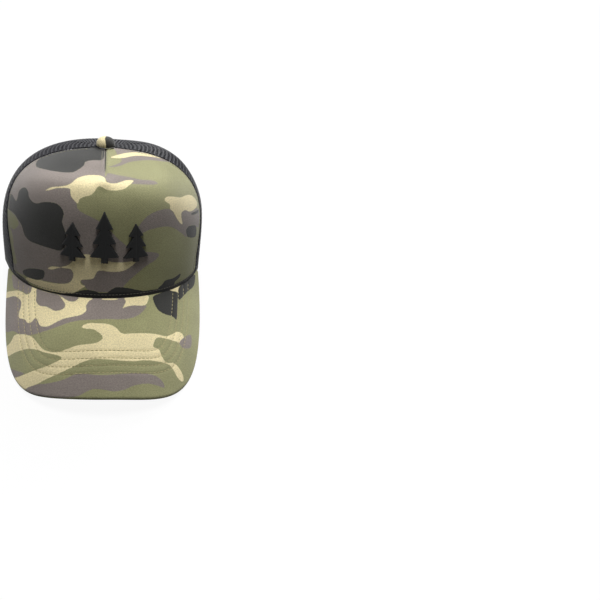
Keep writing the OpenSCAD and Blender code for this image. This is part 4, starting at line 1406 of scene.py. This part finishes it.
@dataclass(frozen=True)
class FirTree:
    """One raised fir tree of the emblem, filled with satin stitch."""

    node: str
    x: float
    height: float
    width: float = 22.0
    foot: float = 39.0
    thick: float = 1.9
    tiers: int = 3
    thread: float = 0.9

    def half(self, v: Array) -> Array:
        """Return the tree's half width at a share of its height."""
        heights, widths = [0, 0.13], [0.12, 0.12]
        for i in range(self.tiers):
            low, high = 0.14 + 0.86 * i / self.tiers, 0.14 + 0.86 * (i + 1) / self.tiers - 0.01
            heights += [low, high]
            widths += [0.5 - 0.1 * i, 0.03 if i == self.tiers - 1 else 0.2 - 0.05 * i]
        return np.interp(v, heights, widths) * self.width

    def build(self) -> bpy.types.Object:
        """Make the puffed tree on the panel's face."""
        def surface(u: Array, v: Array) -> Array:
            s = 2 * u - 1
            half = self.half(v)
            a = np.degrees(np.arctan2(self.x + s * half, FORM.half_l))
            edge = np.minimum((1 - np.abs(s)) * half, np.minimum(v, 1 - v) * self.height)
            puff = self.thick * np.sqrt(np.clip(1 - (1 - np.clip(edge / 1.6, 0, 1)) ** 2, 0, 1))
            slant = v * self.height + 0.35 * s * half
            ridge = 0.1 * np.sin(slant * 2 * math.pi / self.thread) * np.clip(edge / 0.8, 0, 1)
            fold = -0.25 * bell(s * half, 0.5) * np.clip(edge / 2, 0, 1)
            return FORM.place(FORM.wall(a, self.foot + v * self.height, -0.05 - puff - ridge - fold))

        sheet = Sheet(f"{self.node}_satin", 34, 150, surface)
        obj = sheet.lay(thickness=0.3)
        Workshop.finish(obj, SATIN, "cap", "embroidery", self.node)
        return obj


@dataclass(frozen=True)
class StrapFold:
    """Thin moulded fold that joins a strap to its sewn tab."""

    name: str
    body: str
    radius: float
    way: int
    root: float = 26.542
    centre: float = 22.5231
    mid: float = 16.5
    height: float = 18.4
    thickness: float = 0.7
    before: float = 2.2
    after: float = 2.6

    def spot(self, angle: Array, z: Array, out: Array | float) -> Array:
        """Return a worn point of the strap's arc."""
        r = self.radius + out
        return np.stack([-np.sin(rad(angle)) * r, self.centre + np.cos(rad(angle)) * r, z], -1)

    def build(self) -> bpy.types.Object:
        """Make the fold between the tab and the strap."""
        low, high = self.root - self.before, self.root + self.after

        def surface(u: Array, v: Array) -> Array:
            angle = self.way * (low + (high - low) * u)
            return FORM.place(self.spot(angle, self.mid + self.height * (v - 0.5), self.thickness / 2))

        sheet = Sheet(self.name, 16, 12, surface)
        obj = sheet.lay(thickness=0.0)
        if self.way > 0:
            Workshop.flip(obj)
        Workshop.solidify(obj, self.thickness)
        Workshop.smooth(obj, 40)
        Workshop.paint(obj, STRAP)
        ends = [FORM.place(self.spot(np.float64(self.way * x), np.float64(self.mid), 0.0)) for x in
                (self.root + 1.0, self.root - 1.0)]
        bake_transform(obj)
        log.info("%s: %d faces", obj.name, len(obj.data.polygons))
        return obj


@dataclass
class Studio:
    """White floor, soft light from above and behind, and the camera."""

    eye: tuple[float, float, float] = (6.5126, -474.875, 421.8246)
    yaw: float = 0.239887
    pitch: float = -0.720594
    roll: float = 0.1645
    lens: float = 42.0
    shift: float = 0.1
    key: float = 3.45
    key_from: tuple[float, float, float] = (0.03, 0.2, 1.0)
    rim: float = 3.15
    rim_from: tuple[float, float, float] = (0.25, 0.85, 0.6)
    spread: float = 30.0
    fill: float = 0.05
    glow: float = 0.93
    floor_size: float = 60.0
    floor_grey: float = 0.2
    floor_more: float = 0.5
    lamp_far: float = 2.0
    sensor: float = 36.0

    @staticmethod
    def seen(board: Board) -> bpy.types.NodeSocket:
        """Return 1 where a ray shows the surroundings, to the eye or through a piece."""
        path = board.add("ShaderNodeLightPath")
        more = board.math("ADD", path.outputs["Is Glossy Ray"], path.outputs["Is Transmission Ray"])
        return board.math("ADD", path.outputs["Is Camera Ray"], more, clamp=True)

    def floor(self) -> None:
        """Lay a white floor that keeps the cap's shadow."""
        Workshop.clear()
        bpy.ops.mesh.primitive_plane_add(size=self.floor_size, location=(0, 0, 0))
        floor = bpy.context.active_object
        floor.name = floor.data.name = "studio_floor"
        material = bpy.data.materials.new("studio_floor")
        material.use_nodes = True
        board = Board(material.node_tree)
        end, shader = board.add("ShaderNodeOutputMaterial"), board.add("ShaderNodeBsdfDiffuse")
        shade = board.math("MULTIPLY_ADD", self.seen(board), self.floor_more, self.floor_grey)
        board.feed(shader.inputs["Color"], shade)
        glow, both = board.add("ShaderNodeEmission"), board.add("ShaderNodeMixShader")
        board.feed(both.inputs[0], board.math("MULTIPLY", self.seen(board), self.glow))
        board.feed(both.inputs[1], shader.outputs[0])
        board.feed(both.inputs[2], glow.outputs[0])
        board.feed(end.inputs["Surface"], both.outputs[0])
        floor.data.materials.append(material)

    def light(self) -> None:
        """Hang a wide soft light overhead, one behind, and fill from all round."""
        lamps = (("studio_key", self.key, self.key_from), ("studio_rim", self.rim, self.rim_from))
        for name, energy, place in lamps:
            data = bpy.data.lights.new(name, "SUN")
            data.energy, data.angle = energy, rad(self.spread)
            lamp = bpy.data.objects.new(name, data)
            lamp.rotation_euler = Vector(place).to_track_quat("Z", "Y").to_euler()
            lamp.location = Vector(place) * self.lamp_far
            bpy.context.scene.collection.objects.link(lamp)
        world = bpy.data.worlds.new("studio")
        bpy.context.scene.world = world
        world.use_nodes = True
        board = Board(world.node_tree)
        end = board.add("ShaderNodeOutputWorld")
        sky = board.add("ShaderNodeBackground")
        sky.inputs["Color"].default_value = (1, 1, 1, 1)
        board.feed(sky.inputs["Strength"], board.math(
            "ADD", self.fill, board.math("MULTIPLY", self.seen(board), 1.0 - self.fill)))
        board.feed(end.inputs["Surface"], sky.outputs[0])

    def camera(self) -> None:
        """Stand the camera in front, above and a little to the wearer's left."""
        cy, sy, cp, sp = math.cos(self.yaw), math.sin(self.yaw), math.cos(self.pitch), math.sin(self.pitch)
        ahead = Vector((sy * cp, cy * cp, sp))
        right = ahead.cross(Vector((0, 0, 1))).normalized()
        up = right.cross(ahead)
        c, s = math.cos(self.roll), math.sin(self.roll)
        right, up = c * right + s * up, c * up - s * right
        data = bpy.data.cameras.new("camera")
        data.sensor_fit, data.sensor_width = "HORIZONTAL", self.sensor
        data.lens, data.shift_x = self.lens, self.shift
        data.clip_start, data.clip_end = 0.01, 30
        camera = bpy.data.objects.new("camera", data)
        turn = Matrix((right, up, -ahead)).transposed()
        camera.matrix_world = Matrix.Translation(Vector(self.eye) * MM) @ turn.to_4x4()
        bpy.context.scene.collection.objects.link(camera)
        bpy.context.scene.camera = camera

    def build(self) -> None:
        """Set the stage and the view."""
        self.floor()
        self.light()
        self.camera()
        bpy.context.scene.view_settings.view_transform = "Standard"


def hem_sewing(height: float = 3.4, end: float = 153.0) -> None:
    """Sew the hem of the mesh to the sweatband, in sight outside.

    Args:
        height: the row's height over the hem, in millimetres.
        end: the bearing at which the row stops, in degrees.
    """
    rows = []
    for side in Side:
        a = np.linspace(FORM.seam_low + side.value * FORM.seam_turn + 1, end, 200)
        z = FORM.hem_height(a) + height
        rows.append(crown_row(side.value * a, FORM.phi_at(a, z), 0.05))
    Stitches(2.8, 2.1, 0.26).sew("mesh_hem_stitches", rows, GREY, "cap", "mesh")


def dress_solids() -> None:
    """Give the solids that stay their moulded and metal finishes."""
    kept = {"hole_strap": STRAP, "hole_strap_tab": STRAP, "peg_strap": STRAP, "peg_strap_tab": STRAP,
            "button_shell": METAL, "button_back": METAL, "visor_board": BOARD}
    for name, finish in kept.items():
        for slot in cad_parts[name].material_slots:
            slot.material = finish.make()
        log.info("%s: %s", name, finish.name)


def main() -> None:
    """Build every piece of the cap and its studio."""
    FrontPanel().build()
    for side in Side:
        end = side.name.lower()
        MeshPanel(f"side_mesh_{end}", side, False).build()
        MeshPanel(f"rear_mesh_{end}", side, True).build()
        SeamTape(f"seam_tape_front_{end}",
                 lambda phi, s=side: s.value * FORM.front_seam(phi) + FORM.seam_turn,
                 above_hem=4.0, depth=3.2, rests_on=("front_lining",)).build()
        SeamTape(f"seam_tape_side_{end}", lambda phi, s=side: np.full_like(phi, s.value * FORM.side_seam),
                 above_hem=4.0, depth=1.45, rests_on=(f"side_mesh_{end}", f"rear_mesh_{end}")).build()
    SeamTape("seam_tape_rear", lambda phi: np.full_like(phi, 180.0),
             above_hem=57.0, depth=1.45, rests_on=("rear_mesh_left", "rear_mesh_right")).build()
    Sweatband().build()
    ArchBinding().build()
    Visor().build()
    Button().build()
    hem_sewing()
    for node, x, height in (("emblem_tree_left", 25.0, 28.08), ("emblem_tree_middle", 0.0, 36.0),
                            ("emblem_tree_right", -25.0, 28.08)):
        FirTree(node, x, height).build()
    StrapFold("hole_strap_fold", "hole_strap", 71.8769, 1).build()
    StrapFold("peg_strap_fold", "peg_strap", 69.9769, -1).build()
    dress_solids()
    Studio().build()


if __name__ == "__main__":
    main()
